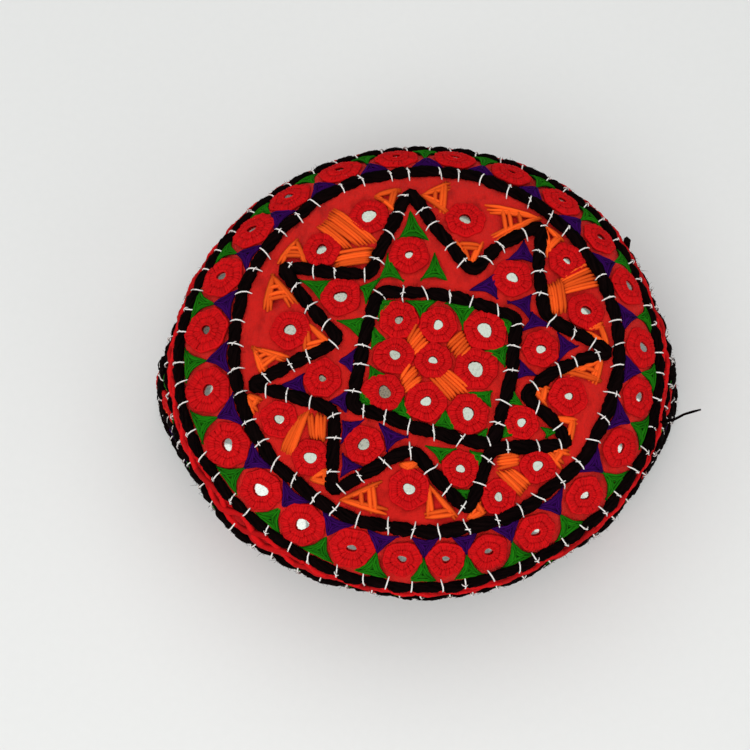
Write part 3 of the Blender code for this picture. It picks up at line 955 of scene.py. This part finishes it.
class TOPI_OT_cloth(bpy.types.Operator):
    """Makes the crown and the side band as closed cloth walls"""
    bl_idname = "topi.cloth"
    bl_label = "Cloth"

    def execute(self, context):
        look = cotton_look("red cotton", chosen("cloth"))
        top_end, side_start = SEAM_RUN - SEAM_GAP / 2, SEAM_RUN + SEAM_GAP / 2
        self.wall("crown", [*np.arange(0, top_end, 2.0), top_end], False, look)
        self.wall("side_band", [*np.linspace(side_start, HEM_RUN, 30)], True, look)
        return {"FINISHED"}

    def wall(self, node, runs, closed, look):
        """One wall, from its runs: the outer face is softly dented, and the inner one is plain."""
        outline = [(run, 0.0) for run in runs] + [(run, -WALL) for run in reversed(runs)]
        mesh = as_mesh(turned(outline, closed, 240), f"{node}_cloth")
        points = points_of(mesh)
        turn, run = polar(points)
        run = down_wall(turn, run)
        lift = points[:, 2] + np.where(points[:, 2] > -WALL / 2, cloth_relief(turn, run), 0)
        moved = place(turn, run, lift)
        moved[moved[:, 2] < HEM_PRESSED * MM, 2] = 0.0
        put_points(mesh, moved)
        put_cloth_map(mesh, turn, run, node == "crown")
        settled(mesh, look, [node])


def cloth_relief(turn, run):
    """Soft puckers of the cloth between its stitched cords, in millimetres."""
    pucker = np.sin(turn * 24) * np.cos(run * 0.31 + 0.7) + np.sin(turn * 37 + run * 0.21)
    edge = np.clip(np.minimum(np.abs(run - SEAM_RUN), np.abs(run - hem_run(turn))) / 4, 0, 1)
    folds = np.sin(turn * 5 + run * 0.11) * np.sin(run * 0.17 + turn * 2 + 1.3)
    return (0.16 * pucker + 0.5 * folds) * edge * np.clip(run / 20, 0, 1)


class TOPI_OT_cords(bpy.types.Operator):
    """Lays the black cords, pinched where they are stitched down"""
    bl_idname = "topi.cords"
    bl_label = "Cords"

    def execute(self, context):
        look = yarn_look("black yarn", chosen("yarn"))
        for name in CORD_LINES:
            self.cord(name, look, context.scene.topi_sizes)
        return {"FINISHED"}

    def cord(self, name, look, sizes):
        path = cord_path(name, sizes)
        near = gap_round(path.along[:, None], path.stitches, path.total).min(1)
        depth, reach = PINCH.get(name, (0.3, 1.4))
        pinch = np.exp(-(near / reach) ** 2) * depth
        rng = np.random.default_rng(len(path.along))
        swell = (slow_noise(rng, path.along, path.total, 6) * 0.08
                 + slow_noise(rng, path.along, path.total, 2.2) * 0.06)
        width = sizes.cord_width / 2 * (1.06 + swell - pinch)
        lift = sizes.cord_height * (CORD_MIDDLE - pinch * 0.3)
        points = path.points + path.normals * lift[:, None]
        mesh = strand_mesh(f"{name}_yarn", points[None], path.normals[None], width[None], 16, True,
                           0.12, sizes.cord_height / sizes.cord_width)
        self.ply(mesh, points, path.along)
        settled(mesh, look, [name])

    def ply(self, mesh, line, along):
        """Grooves between the yarns of a cord, which wander slowly round it."""
        x, y, reached = read(mesh.attributes["fibre"].data, "vector", 3).T
        angle = np.arctan2(y, x)
        groove = np.cos(angle * 6) * 0.1 + np.cos(angle * 11 + reached * 0.4) * 0.06
        station = np.interp(reached - reached.min(), along, np.arange(len(along)))
        nearest = line[np.rint(station).astype(int)]
        put_points(mesh, nearest + (points_of(mesh) - nearest) * (1 + groove[:, None]))


def slow_noise(rng, along, total, wavelength):
    """Smooth random waves round a closed line, from about -1 to 1."""
    knots = max(6, round(total / wavelength))
    values = rng.uniform(-1, 1, knots)
    at = along / total * knots
    k = np.floor(at).astype(int)
    t = eased(at - k)
    return values[k % knots] * (1 - t) + values[(k + 1) % knots] * t


def strands(name, parts, radii, sides, look):
    """A piece of short strands, from parts that hold their points and their normals."""
    points, normals = (np.concatenate(part) for part in zip(*parts))
    normals = np.repeat(normals[:, None], points.shape[1], 1)
    mesh = strand_mesh(name, points, normals, radii * np.ones(points.shape[:2]), sides, False)
    settled(mesh, look, ())


class TOPI_OT_fuzz(bpy.types.Operator):
    """Raises short fine fibres from the cords"""
    bl_idname = "topi.fuzz"
    bl_label = "Fuzz"

    def execute(self, context):
        sizes = context.scene.topi_sizes
        rng = np.random.default_rng(SEED + 3)
        parts = [self.fibres(cord_path(name, sizes), 0.7 if name in SPARSER else 2.0, sizes, rng)
                 for name in CORD_LINES]
        look = yarn_look("yarn fuzz", chosen("yarn"))
        strands("cord_fuzz", parts, np.array((0.08, 0.065, 0.03)) * MM, 3, look)
        return {"FINISHED"}

    def fibres(self, path, per_mm, sizes, rng):
        """The fibres of one cord, each from a random place on it."""
        index = rng.integers(0, len(path.along), round(path.total * per_mm))
        ahead, up = path.ahead[index], path.normals[index]
        one = (len(index), 1)
        round_it = rng.uniform(-0.1, 1.1, one) * math.pi
        out = np.cross(ahead, up) * np.cos(round_it) + up * np.sin(round_it) * 0.65
        middle = path.points[index] + up * sizes.cord_height * CORD_MIDDLE
        root = middle + out * sizes.cord_width * 0.42
        reach = rng.uniform(0.4, 1.3, one) * MM
        lean = unit(out + ahead * rng.normal(0, 0.9, one) + rng.normal(0, 0.3, root.shape))
        curl = rng.normal(0, 0.5, root.shape)
        points = [root + (lean * share + curl * share ** 2) * reach for share in (0, 0.5, 1)]
        return np.stack(points, 1), unit(up + 0.3 * rng.normal(0, 1, up.shape))


class TOPI_OT_couching(bpy.types.Operator):
    """Sews the white stitches over the cords, most of them with a small cross tick"""
    bl_idname = "topi.couching"
    bl_label = "Couching stitches"

    def execute(self, context):
        sizes = context.scene.topi_sizes
        look = thread_look("white thread", chosen("white"), 0.1, 0.12)
        over, ticks = [], []
        for seed, name in enumerate(CORD_LINES):
            path = cord_path(name, sizes)
            stations = len(path.along)
            index = np.rint(path.stitches / path.total * stations).astype(int) % stations
            where = path.points[index], path.ahead[index], path.normals[index]
            rng = np.random.default_rng(seed + 90)
            over.append(self.arches(*where, rng, sizes))
            ticks.append(self.ticks(*where, rng, sizes))
        taper = np.array((0.8, 1, 1.05, 1.1, 1.05, 1, 0.8))
        strands("couching_stitches", over, sizes.stitch_thread / 2 * taper, 6, look)
        strands("couching_ticks", ticks, sizes.stitch_thread * 0.4 * taper, 6, look)
        return {"FINISHED"}

    def arches(self, middle, ahead, normal, rng, sizes):
        """A stitch goes over its cord askew, from the cloth on one side to that on the other."""
        one = (len(middle), 1)
        askew = rng.normal(math.radians(5), math.radians(10), one)
        across = np.cross(ahead, normal) * np.cos(askew) + ahead * np.sin(askew)
        reach = sizes.cord_width / 2 * rng.uniform(1.25, 1.6, one)
        offset = np.array((-1, -0.82, -0.5, 0, 0.5, 0.82, 1)) * reach
        top = sizes.cord_height * CORD_TOP
        lift = np.array((-0.0003, 0.0005, top * 0.78, top, top * 0.78, 0.0005, -0.0003))
        bend = rng.normal(0, 0.0002, one) * np.array((0, 0.5, 1, 0.4, -1, -0.5, 0))
        return crossing(middle, across, normal, offset, lift) + ahead[:, None] * bend[..., None], normal

    def ticks(self, middle, ahead, normal, rng, sizes):
        """The ticks that hold most of the stitches near their middles."""
        keep = rng.uniform(0, 1, len(middle)) < 0.65
        middle, ahead, normal = middle[keep], ahead[keep], normal[keep]
        one = (len(middle), 1)
        askew = rng.normal(math.radians(25), math.radians(30), one)
        aside = np.cross(ahead, normal)
        across = ahead * np.cos(askew) + aside * np.sin(askew)
        middle = middle + aside * rng.uniform(-1, 1, one) * sizes.cord_width * 0.22
        reach = rng.uniform(0.7, 1.15, one) * MM
        offset = np.array((-1, -0.75, -0.4, 0, 0.4, 0.75, 1)) * reach
        lift = sizes.cord_height * CORD_TOP + MM * np.array((-0.5, 0.0, 0.28, 0.38, 0.28, 0.0, -0.5))
        return crossing(middle, across, normal, offset, lift), normal


def crossing(middle, across, normal, offset, lift):
    """Lines through these middles, at offsets across the cord and lifts above it."""
    return middle[:, None] + across[:, None] * offset[..., None] + normal[:, None] * lift[:, None]


class TOPI_OT_seam_strip(bpy.types.Operator):
    """Covers the seam between crown and side band with a red strip and cords that wind over it"""
    bl_idname = "topi.seam_strip"
    bl_label = "Seam strip"

    def execute(self, context):
        red = chosen("rosettes")
        outline = [(SEAM_RUN + off, height) for off, height in SEAM_STRIP_OUTLINE]
        mesh = as_mesh(turned(outline, True, 360), "seam_strip_cloth")
        points = points_of(mesh)
        turn, run = polar(points)
        put_points(mesh, place(turn, run, points[:, 2]))
        put_cloth_map(mesh, turn, run, False)
        settled(mesh, cotton_look("red strip", red), ["seam_strip"])
        self.cords(thread_look("red cord", red, contrast=0.4, furrow_shade=0.5))
        return {"FINISHED"}

    def cords(self, look):
        """Four soft cords, two winding each way, that cross over each other unevenly."""
        threads = Threads()
        rng = np.random.default_rng(SEED)

        def waves(wavelength):
            return slow_noise(rng, ROUND * SEAM_RUN, math.tau * SEAM_RUN, wavelength)
        wander = waves(14) * 1.1
        wide = 1.6 + 0.5 * waves(12)
        for strand in range(4):
            phase = ROUND * (23 if strand % 2 else -23) + wander + strand * 1.7
            crimp = 0.05 * np.cos(ROUND * 180 + strand)
            own = waves(7)
            threads.add(ROUND, SEAM_RUN - 0.3 + (0.35 * own + wide * np.sin(phase)),
                        0.6 + 0.3 * own + 0.5 * np.cos(phase) + crimp, 1.3 + crimp + 0.2 * own)
        threads.piece("seam_strip_cords", look, 8, True)


class Work:
    """Rosettes of one group, as arrays: where they are, their outlines and their mirrors."""

    def __init__(self, near, seed, first, second, radius, mirror, dull, pull_turn=0, pull=0):
        columns = np.broadcast_arrays(first, second, radius, mirror, dull, np.radians(pull_turn), pull)
        self.near = near
        self.first, self.second, self.radius, self.mirror, self.dull, self.pull_turn, self.pull = (
            np.array(column, float) for column in columns)
        self.rng = np.random.default_rng(seed)
        self.corners = self.rng.integers(5, 8, len(self.radius))
        self.start = self.rng.uniform(0, math.tau, len(self.radius))

    def outer(self, angle):
        """The radius at each angle: a disc with blunt corners, one of them pulled out."""
        a = angle - self.start[:, None]
        blunt = 1 + 0.045 * np.cos(a * self.corners[:, None])
        off = gap_round(angle, self.pull_turn[:, None], math.tau)
        pulled = 1 + self.pull[:, None] * np.exp(-(off / 0.42) ** 2)
        return self.radius[:, None] * blunt * pulled

    def hole(self, angle):
        """The same for the hole over the mirror."""
        a = angle - self.start[:, None]
        return self.mirror[:, None] * (1 + 0.09 * np.cos(2 * a) + 0.05 * np.cos(3 * a + 1))

    def uneven(self, count, stray):
        """About even angles round each rosette."""
        off = self.rng.uniform(-stray, stray, (len(self.radius), count))
        return (np.arange(count) + off) * math.tau / count

    def spots(self, angle, distance):
        """The turns and runs at angles and distances from the middles. The first axis is rosettes."""
        shape = (-1, *[1] * (distance.ndim - 1))
        return self.near(self.first.reshape(shape), self.second.reshape(shape),
                         distance * np.cos(angle), distance * np.sin(angle))


def rosettes(work, name, short_name, looks, nodes):
    """A group of rosettes with their padding and their mirrors."""
    thread, dark, glass = looks
    rows_of_thread(work, name, thread, nodes)
    looped_edges(work, f"{name}_loops", thread)
    needle_hole_shade(work, f"{name}_needle_holes", dark)
    pads(work, f"{short_name}_pads", thread)
    mirrors(work, f"{short_name}_mirrors", glass)


def rows_of_thread(work, name, look, nodes):
    """Two rows of stitches out from the mirror."""
    rows = Threads()
    share = np.array((0, 0.34, 0.7, 1))
    for count, inner, outer, lifts in THREAD_ROWS:
        angle = work.uneven(count, 0.18)
        edge, hole = work.outer(angle), work.hole(angle)
        start = edge * inner if inner else hole * 0.98
        end = edge * outer * (1 + work.rng.normal(0, 0.012, edge.shape))
        distance = start[..., None] + (end - start)[..., None] * share
        angle = angle[..., None] + work.rng.normal(0.06, 0.03, edge.shape)[..., None] * share
        lift = np.array(lifts) + work.rng.normal(0, 0.04, edge.shape)[..., None]
        radius = math.pi * distance / count * 1.5 * np.array((0.9, 1, 1, 0.9))
        rows.add(*work.spots(angle, distance), lift, radius)
    rows.piece(f"{name}_threads", look, 5, False, nodes, 0.55)


def looped_edges(work, name, look):
    """A looped edge round each mirror, and one near the edge of each rosette."""
    loops = Threads()
    angle = np.arange(48) * math.tau / 48
    for distance, lift, radius, bead in ((work.hole(angle) * 1.04, 1.5, 0.5, 12),
                                         (work.outer(angle) * 0.955, 0.85, 0.62, 16)):
        beads = np.cos(angle * bead + work.start[:, None])
        loops.add(*work.spots(angle, distance + 0.05 * beads), lift + 0.1 * beads,
                  radius * (1 + 0.14 * beads))
    loops.piece(name, look, 6, True)


def needle_hole_shade(work, name, look):
    """Painted shade of the needle holes: short dark strands between the two rows, and between the
    mirror and its row.
    """
    holes = Threads()
    for count, share, reach in ((26, 0.6, 0.25), (16, 0.36, 0.2)):
        angle = work.uneven(count, 0.2)
        middle = work.outer(angle) * share + (work.hole(angle) * 0.4 if share < 0.5 else 0)
        middle = middle + work.rng.normal(0, 0.14, middle.shape)
        distance = middle[..., None] + np.array((-1, 0, 1)) * reach
        holes.add(*work.spots(angle[..., None], distance), (1.2, 1.66, 1.2), (0.1, 0.18, 0.1))
    holes.piece(name, look, 3)


def pads(work, name, look):
    """The padding of laid thread under each rosette's stitches, from its hole to its edge."""
    outline = [(1 + share, lift) for share, lift in PAD_OUTLINE]
    mesh, shape = repeated(name, turned(outline, True, 32), len(work.radius))
    angle, distance = polar(shape)
    hole = work.hole(angle)
    distance = hole + (work.outer(angle) * 0.97 - hole) * (distance - 1)
    put_points(mesh, place(*work.spots(angle, distance), shape[:, 2]).reshape(-1, 3))
    fibre = np.stack(np.broadcast_arrays(angle * 6, distance, 0), -1)
    put_attribute(mesh, "fibre", "FLOAT_VECTOR", fibre)
    # The pads take the darkest tone of their thread, so the gaps between the stitches above them look
    # dark: painted shade between the stitches
    put_attribute(mesh, "shade", "FLOAT", np.full(distance.size, 0.1))
    settled(mesh, look)


def mirrors(work, name, look):
    """A cut mirror under each rosette's hole, a little aslant."""
    bm = bmesh.new()
    bmesh.ops.create_cone(bm, cap_ends=True, segments=16, radius1=1, radius2=1, depth=0.3)
    rim = [edge for edge in bm.edges
           if edge.calc_face_angle() > 1 and min(corner.co.z for corner in edge.verts) > 0]
    bmesh.ops.bevel(bm, geom=rim, offset=0.08, segments=1, profile=0.5, affect="EDGES", material=-1)
    count = len(work.radius)
    mesh, shape = repeated(name, bm, count)
    turn, run = work.spots(0, np.zeros(count))
    normal = unit(outward(turn, run) + work.rng.normal(0, 0.05, (count, 3)))
    right = unit(np.cross(normal, (0.3, -1, 0.2)))
    back = np.cross(normal, right)
    radius = (work.mirror + 0.6)[:, None, None]
    x, y, z = (shape[None, :, axis, None] for axis in range(3))
    moved = right[:, None] * x * radius + back[:, None] * y * radius + normal[:, None] * z
    put_points(mesh, (place(turn, run, 0.95)[:, None] + moved * MM).reshape(-1, 3))
    put_attribute(mesh, "dull", "FLOAT", np.repeat(work.dull, len(shape)))
    settled(mesh, look)
    mesh.set_sharp_from_angle(angle=math.radians(30))


def rosette_looks(where, silver):
    """The looks of thread, of the painted shade in the needle holes between the threads, and of
    mirrors.
    """
    red = chosen("rosettes")
    return (thread_look(f"red thread {where}", red, contrast=0.24, furrow_shade=0.95),
            # A darker copy of the red thread: painted shade for the needle holes
            thread_look(f"dark red thread {where}", scaled(red, 0.7)),
            mirror_look(f"{where} mirrors", silver))


class TOPI_OT_top_rosettes(bpy.types.Operator):
    """Works the rosettes of the square, the star and the spaces between its points"""
    bl_idname = "topi.top_rosettes"
    bl_label = "Rosettes on the top"

    def execute(self, context):
        # The top's mirrors get a dim silver and the round ones a bright one: painted reflection,
        # evening out the bright lamp above and the darker room to the sides
        looks = rosette_looks("top", (0.52, 0.58, 0.49))
        groups = {"square_rosette": IN_SQUARE, "star_rosette": IN_STAR, "outer_rosette": BETWEEN_POINTS}
        for seed, (name, rows) in enumerate(groups.items()):
            nodes = [f"{name}_{k + 1:02d}" for k in range(len(rows))]
            work = Work(near_top_spot, seed + 10, *zip(*rows))
            rosettes(work, f"{name}s", name, looks, nodes)
        return {"FINISHED"}


class TOPI_OT_round_rosettes(bpy.types.Operator):
    """Works the rosettes round the shoulder and between the zigzag's legs"""
    bl_idname = "topi.round_rosettes"
    bl_label = "Rosettes round the cap"

    def execute(self, context):
        # A brighter silver than the top's: painted reflection for the darker room these mirrors face
        looks = rosette_looks("round", (0.9, 0.96, 0.88))
        turns, *columns = zip(*ON_SHOULDER)
        work = Work(near_round_spot, 20, np.radians(turns), SHOULDER_RUN - 0.2, *columns)
        rosettes(work, "shoulder_rosette", "shoulder", looks, ["shoulder_rosettes"])
        turns, runs = zip(*wall_spots())
        rng = np.random.default_rng(SEED)
        columns = [rng.uniform(*limits, len(turns)) for limits in ((6.4, 7.0), (1.8, 2.4), (0, 0.8))]
        work = Work(near_round_spot, 30, turns, runs, *columns)
        rosettes(work, "wall_rosette", "wall", looks, ["wall_rosettes"])
        return {"FINISHED"}


def wall_spots():
    """The (turn, run) of the wall's rosettes, one between each two legs of the zigzag."""
    spots = []
    for k, turn in enumerate(zigzag_turns()):
        top, bottom = zigzag_ends(turn)
        share = POINTING_DOWN_SHARE if k % 2 else POINTING_UP_SHARE
        spots.append((turn, top + (bottom - top) * share))
    return spots


def between(start, end, share):
    return start + (end - start) * share


def column(*values):
    return np.array(values)[:, None]


def dense_triangle(corners, rng):
    """Lines side by side along the three sides of a triangle, drawn in towards its middle."""
    corners = np.array(corners, float).reshape(3, 2)
    centre = corners.mean(0)
    for k, corner in enumerate(corners):
        for row, inset in enumerate((0.0, 0.25, 0.5, 0.76)):
            start = between(corner, centre, inset * 0.9) + rng.normal(0, 0.15, 2)
            end = between(corners[(k + 1) % 3], centre, inset) + rng.normal(0, 0.15, 2)
            line = between(start, end, column(-0.05, 0.22, 0.5, 0.78, 1.05))
            line += (centre - line) * column(0, 0.23, 0.33, 0.23, 0) * (1 - row * 0.25)
            yield line, 0.75 + 0.2 * ((k + row) % 3)
        yield between(corner, centre, column(0.1, 0.35, 0.6, 0.85, 1.1)), 0.9


def open_triangle(corners, rng):
    """Two legs of side by side lines from the first corner of a triangle, and bars across them."""
    a, b, c = np.reshape(corners, (3, 2))
    share = column(-0.04, 0.22, 0.5, 0.78, 1.04)
    base = np.linalg.norm(b - c)
    leg = np.arange(int(np.clip(base / 4, 2, 5))) * 1.5 / base
    for foot in (*leg, *(1 - leg)):
        start, end = a + rng.normal(0, 0.25, 2), between(b, c, foot) + rng.normal(0, 0.25, 2)
        yield between(start, end, share * rng.uniform(0.88, 1.04)), 0.85 + rng.uniform(0, 0.2)
    first = rng.uniform(0.55, 0.78)
    for down in (first, first + 0.12) if base < 11 else (first - 0.2, first, first + 0.12):
        start, end = (between(a, foot, down) + rng.normal(0, 0.3, 2) for foot in (b, c))
        yield between(start, end, share * 1.14 - 0.07), 1.25 + rng.uniform(0, 0.2)


def satin_block(block, rng):
    """Lines side by side, from a block's first one to its last one."""
    *corners, count = block
    a, b, c, d = np.reshape(corners, (4, 2))
    for across in np.linspace(0, 1, count):
        start, end = (between(*side, across) + rng.normal(0, 0.2, 2) for side in ((a, b), (c, d)))
        yield between(start, end, column(0, 0.2, 0.5, 0.8, 1)), 1.05 + rng.uniform(0, 0.2)


class TOPI_OT_fillings(bpy.types.Operator):
    """Fills the spaces between the rosettes with green, purple and orange thread"""
    bl_idname = "topi.fillings"
    bl_label = "Fillings"

    def execute(self, context):
        self.width = context.scene.topi_sizes.filling_thread / MM
        self.rng = np.random.default_rng(SEED)
        self.sets = {"green": Threads(), "purple": Threads(), "orange": Threads()}
        self.on_top()
        self.on_shoulder()
        self.on_wall()
        for name, threads in self.sets.items():
            # How dark the painted shade in the furrows between strands is, lighter for orange
            furrow_shade = 0.62 if name == "orange" else 0.38
            look = thread_look(f"{name} thread", chosen(name), 0.04, 0.4, furrow_shade)
            threads.piece(f"{name}_fillings", look, 5)
        return {"FINISHED"}

    def sew(self, lines, width, add):
        """Sews lines as threads that rise over the cloth between their ends."""
        radius = self.width * width / 2 * np.array((0.6, 1, 1.08, 1, 0.6))
        for line, height in lines:
            add(*line.T, np.array((-0.1, 0.85, 1, 0.85, -0.1)) * height, radius)

    def on_top(self):
        for name, table in (("green", GREEN), ("purple", PURPLE)):
            for corners in table:
                self.sew(dense_triangle(corners, self.rng), 0.95, self.sets[name].add_seen)
        orange = self.sets["orange"].add_seen
        for corners in ORANGE:
            self.sew(open_triangle(corners, self.rng), 1.75, orange)
        for block in ORANGE_BLOCKS:
            self.sew(satin_block(block, self.rng), 1.5, orange)

    def placed(self, name, turn, run, *corners):
        """A triangle near a spot of the shoulder or the wall, from corners in millimetres."""
        def add(x, y, lift, radius):
            self.sets[name].add(*near_round_spot(turn, run, x, y), lift, radius)
        self.sew(dense_triangle(corners, self.rng), 0.95, add)

    def on_shoulder(self):
        """Between two rosettes: purple against the inner cord, and green against the rim cord."""
        turns = [row[0] for row in ON_SHOULDER]
        for here, after in zip(turns, turns[1:] + turns[:1]):
            gap = (here - after) % 360
            turn = math.radians(here - gap / 2)
            half = min(6.4, math.radians(gap) * SHOULDER_RUN * 0.31)
            self.placed("purple", turn, INNER_RING_RUN + 2.4, (0, 9.0), (half, 0), (-half, 0))
            self.placed("green", turn, RIM_RUN - 2.2, (0, -8.6), (-half, 0), (half, 0))

    def on_wall(self):
        """Round each rosette of the wall: a triangle in the narrow end, and two in the corners."""
        for k, (turn, run) in enumerate(wall_spots()):
            narrow = 1 if k % 2 else -1
            wide = (ZIGZAG_TOP_RUN - 0.5 if k % 2 else hem_cord_run(turn) - 2.8) - run
            self.placed(("green", "orange", "purple")[k % 3], turn, run,
                        (0, 15.5 * narrow), (3.4, 8.0 * narrow), (-3.4, 8.0 * narrow))
            for side in (-1, 1):
                self.placed(("purple", "green")[k % 2], turn, run,
                            (13.5 * side, wide), (3.2 * side, wide), (8.6 * side, wide + 8.5 * narrow))


class TOPI_OT_loose_ends(bpy.types.Operator):
    """Leaves a long thin end and a short stub of black yarn standing off the shoulder"""
    bl_idname = "topi.loose_ends"
    bl_label = "Loose ends"

    def execute(self, context):
        ends = Threads()
        for turns, runs, lifts, radius in LOOSE_ENDS:
            ends.add(np.radians(turns), runs, lifts, radius * np.array((1, 1.05, 1, 0.95, 0.95, 0.7)))
        ends.piece("loose_ends", yarn_look("loose yarn", chosen("yarn")), 6)
        return {"FINISHED"}


class TOPI_OT_stage(bpy.types.Operator):
    """Sets the pale floor, the soft lights and the camera"""
    bl_idname = "topi.stage"
    bl_label = "Stage"

    def execute(self, context):
        self.floor()
        self.world(context.scene)
        for light in LIGHTS:
            self.light(*light)
        self.camera(context.scene)
        context.scene.view_settings.view_transform = "Standard"
        return {"FINISHED"}

    def floor(self):
        bm = bmesh.new()
        bmesh.ops.create_grid(bm, x_segments=8, y_segments=8, size=3.0)
        mesh = as_mesh(bm, "floor")
        mesh.materials.append(floor_look("pale card", chosen("floor")))
        added("floor", mesh)

    def world(self, scene):
        scene.world = bpy.data.worlds.new("soft room")
        scene.world.use_nodes = True
        inputs = scene.world.node_tree.nodes["Background"].inputs
        inputs["Color"].default_value = (0.96, 0.98, 1.0, 1.0)
        inputs["Strength"].default_value = 0.37

    def light(self, name, where, size, power):
        """A round soft light that shines on the cap."""
        light = bpy.data.lights.new(name, "AREA")
        light.shape = "DISK"
        light.size = size
        light.energy = power
        lamp = added(name, light)
        lamp.location = where
        lamp.rotation_euler = (-Vector(where)).to_track_quat("-Z", "Y").to_euler()

    def camera(self, scene):
        camera = bpy.data.cameras.new("camera")
        camera.sensor_width = 36.0
        camera.lens = CAMERA_LENS
        behind = Vector((0, -math.cos(CAMERA_ELEVATION), math.sin(CAMERA_ELEVATION)))
        scene.camera = added("camera", camera)
        scene.camera.location = Vector(CAMERA_TARGET) + CAMERA_DISTANCE * behind
        scene.camera.rotation_euler = (math.pi / 2 - CAMERA_ELEVATION, 0, 0)


class TOPI_PT_panel(bpy.types.Panel):
    """The cap's pieces"""
    bl_idname = "TOPI_PT_panel"
    bl_label = "Sindhi topi"
    bl_space_type = "VIEW_3D"
    bl_region_type = "UI"
    bl_category = "Topi"

    def draw(self, context):
        for group in (context.scene.topi_sizes, context.scene.topi_colours):
            column = self.layout.column()
            for name in group.bl_rna.properties.keys():
                if name not in ("rna_type", "name"):
                    column.prop(group, name)
        for operator in STEPS:
            self.layout.operator(operator.bl_idname)


STEPS = (
    TOPI_OT_stage, TOPI_OT_cloth, TOPI_OT_cords, TOPI_OT_fuzz, TOPI_OT_couching, TOPI_OT_seam_strip,
    TOPI_OT_top_rosettes, TOPI_OT_round_rosettes, TOPI_OT_fillings, TOPI_OT_loose_ends)
CLASSES = (TopiSizes, TopiColours, *STEPS, TOPI_PT_panel)


def register():
    for item in CLASSES:
        bpy.utils.register_class(item)
    bpy.types.Scene.topi_sizes = bpy.props.PointerProperty(type=TopiSizes)
    bpy.types.Scene.topi_colours = bpy.props.PointerProperty(type=TopiColours)


def unregister():
    del bpy.types.Scene.topi_colours
    del bpy.types.Scene.topi_sizes
    for item in reversed(CLASSES):
        bpy.utils.unregister_class(item)


def main():
    register()
    for step in STEPS:
        group, name = step.bl_idname.split(".")
        getattr(getattr(bpy.ops, group), name)()


if __name__ == "__main__":
    main()
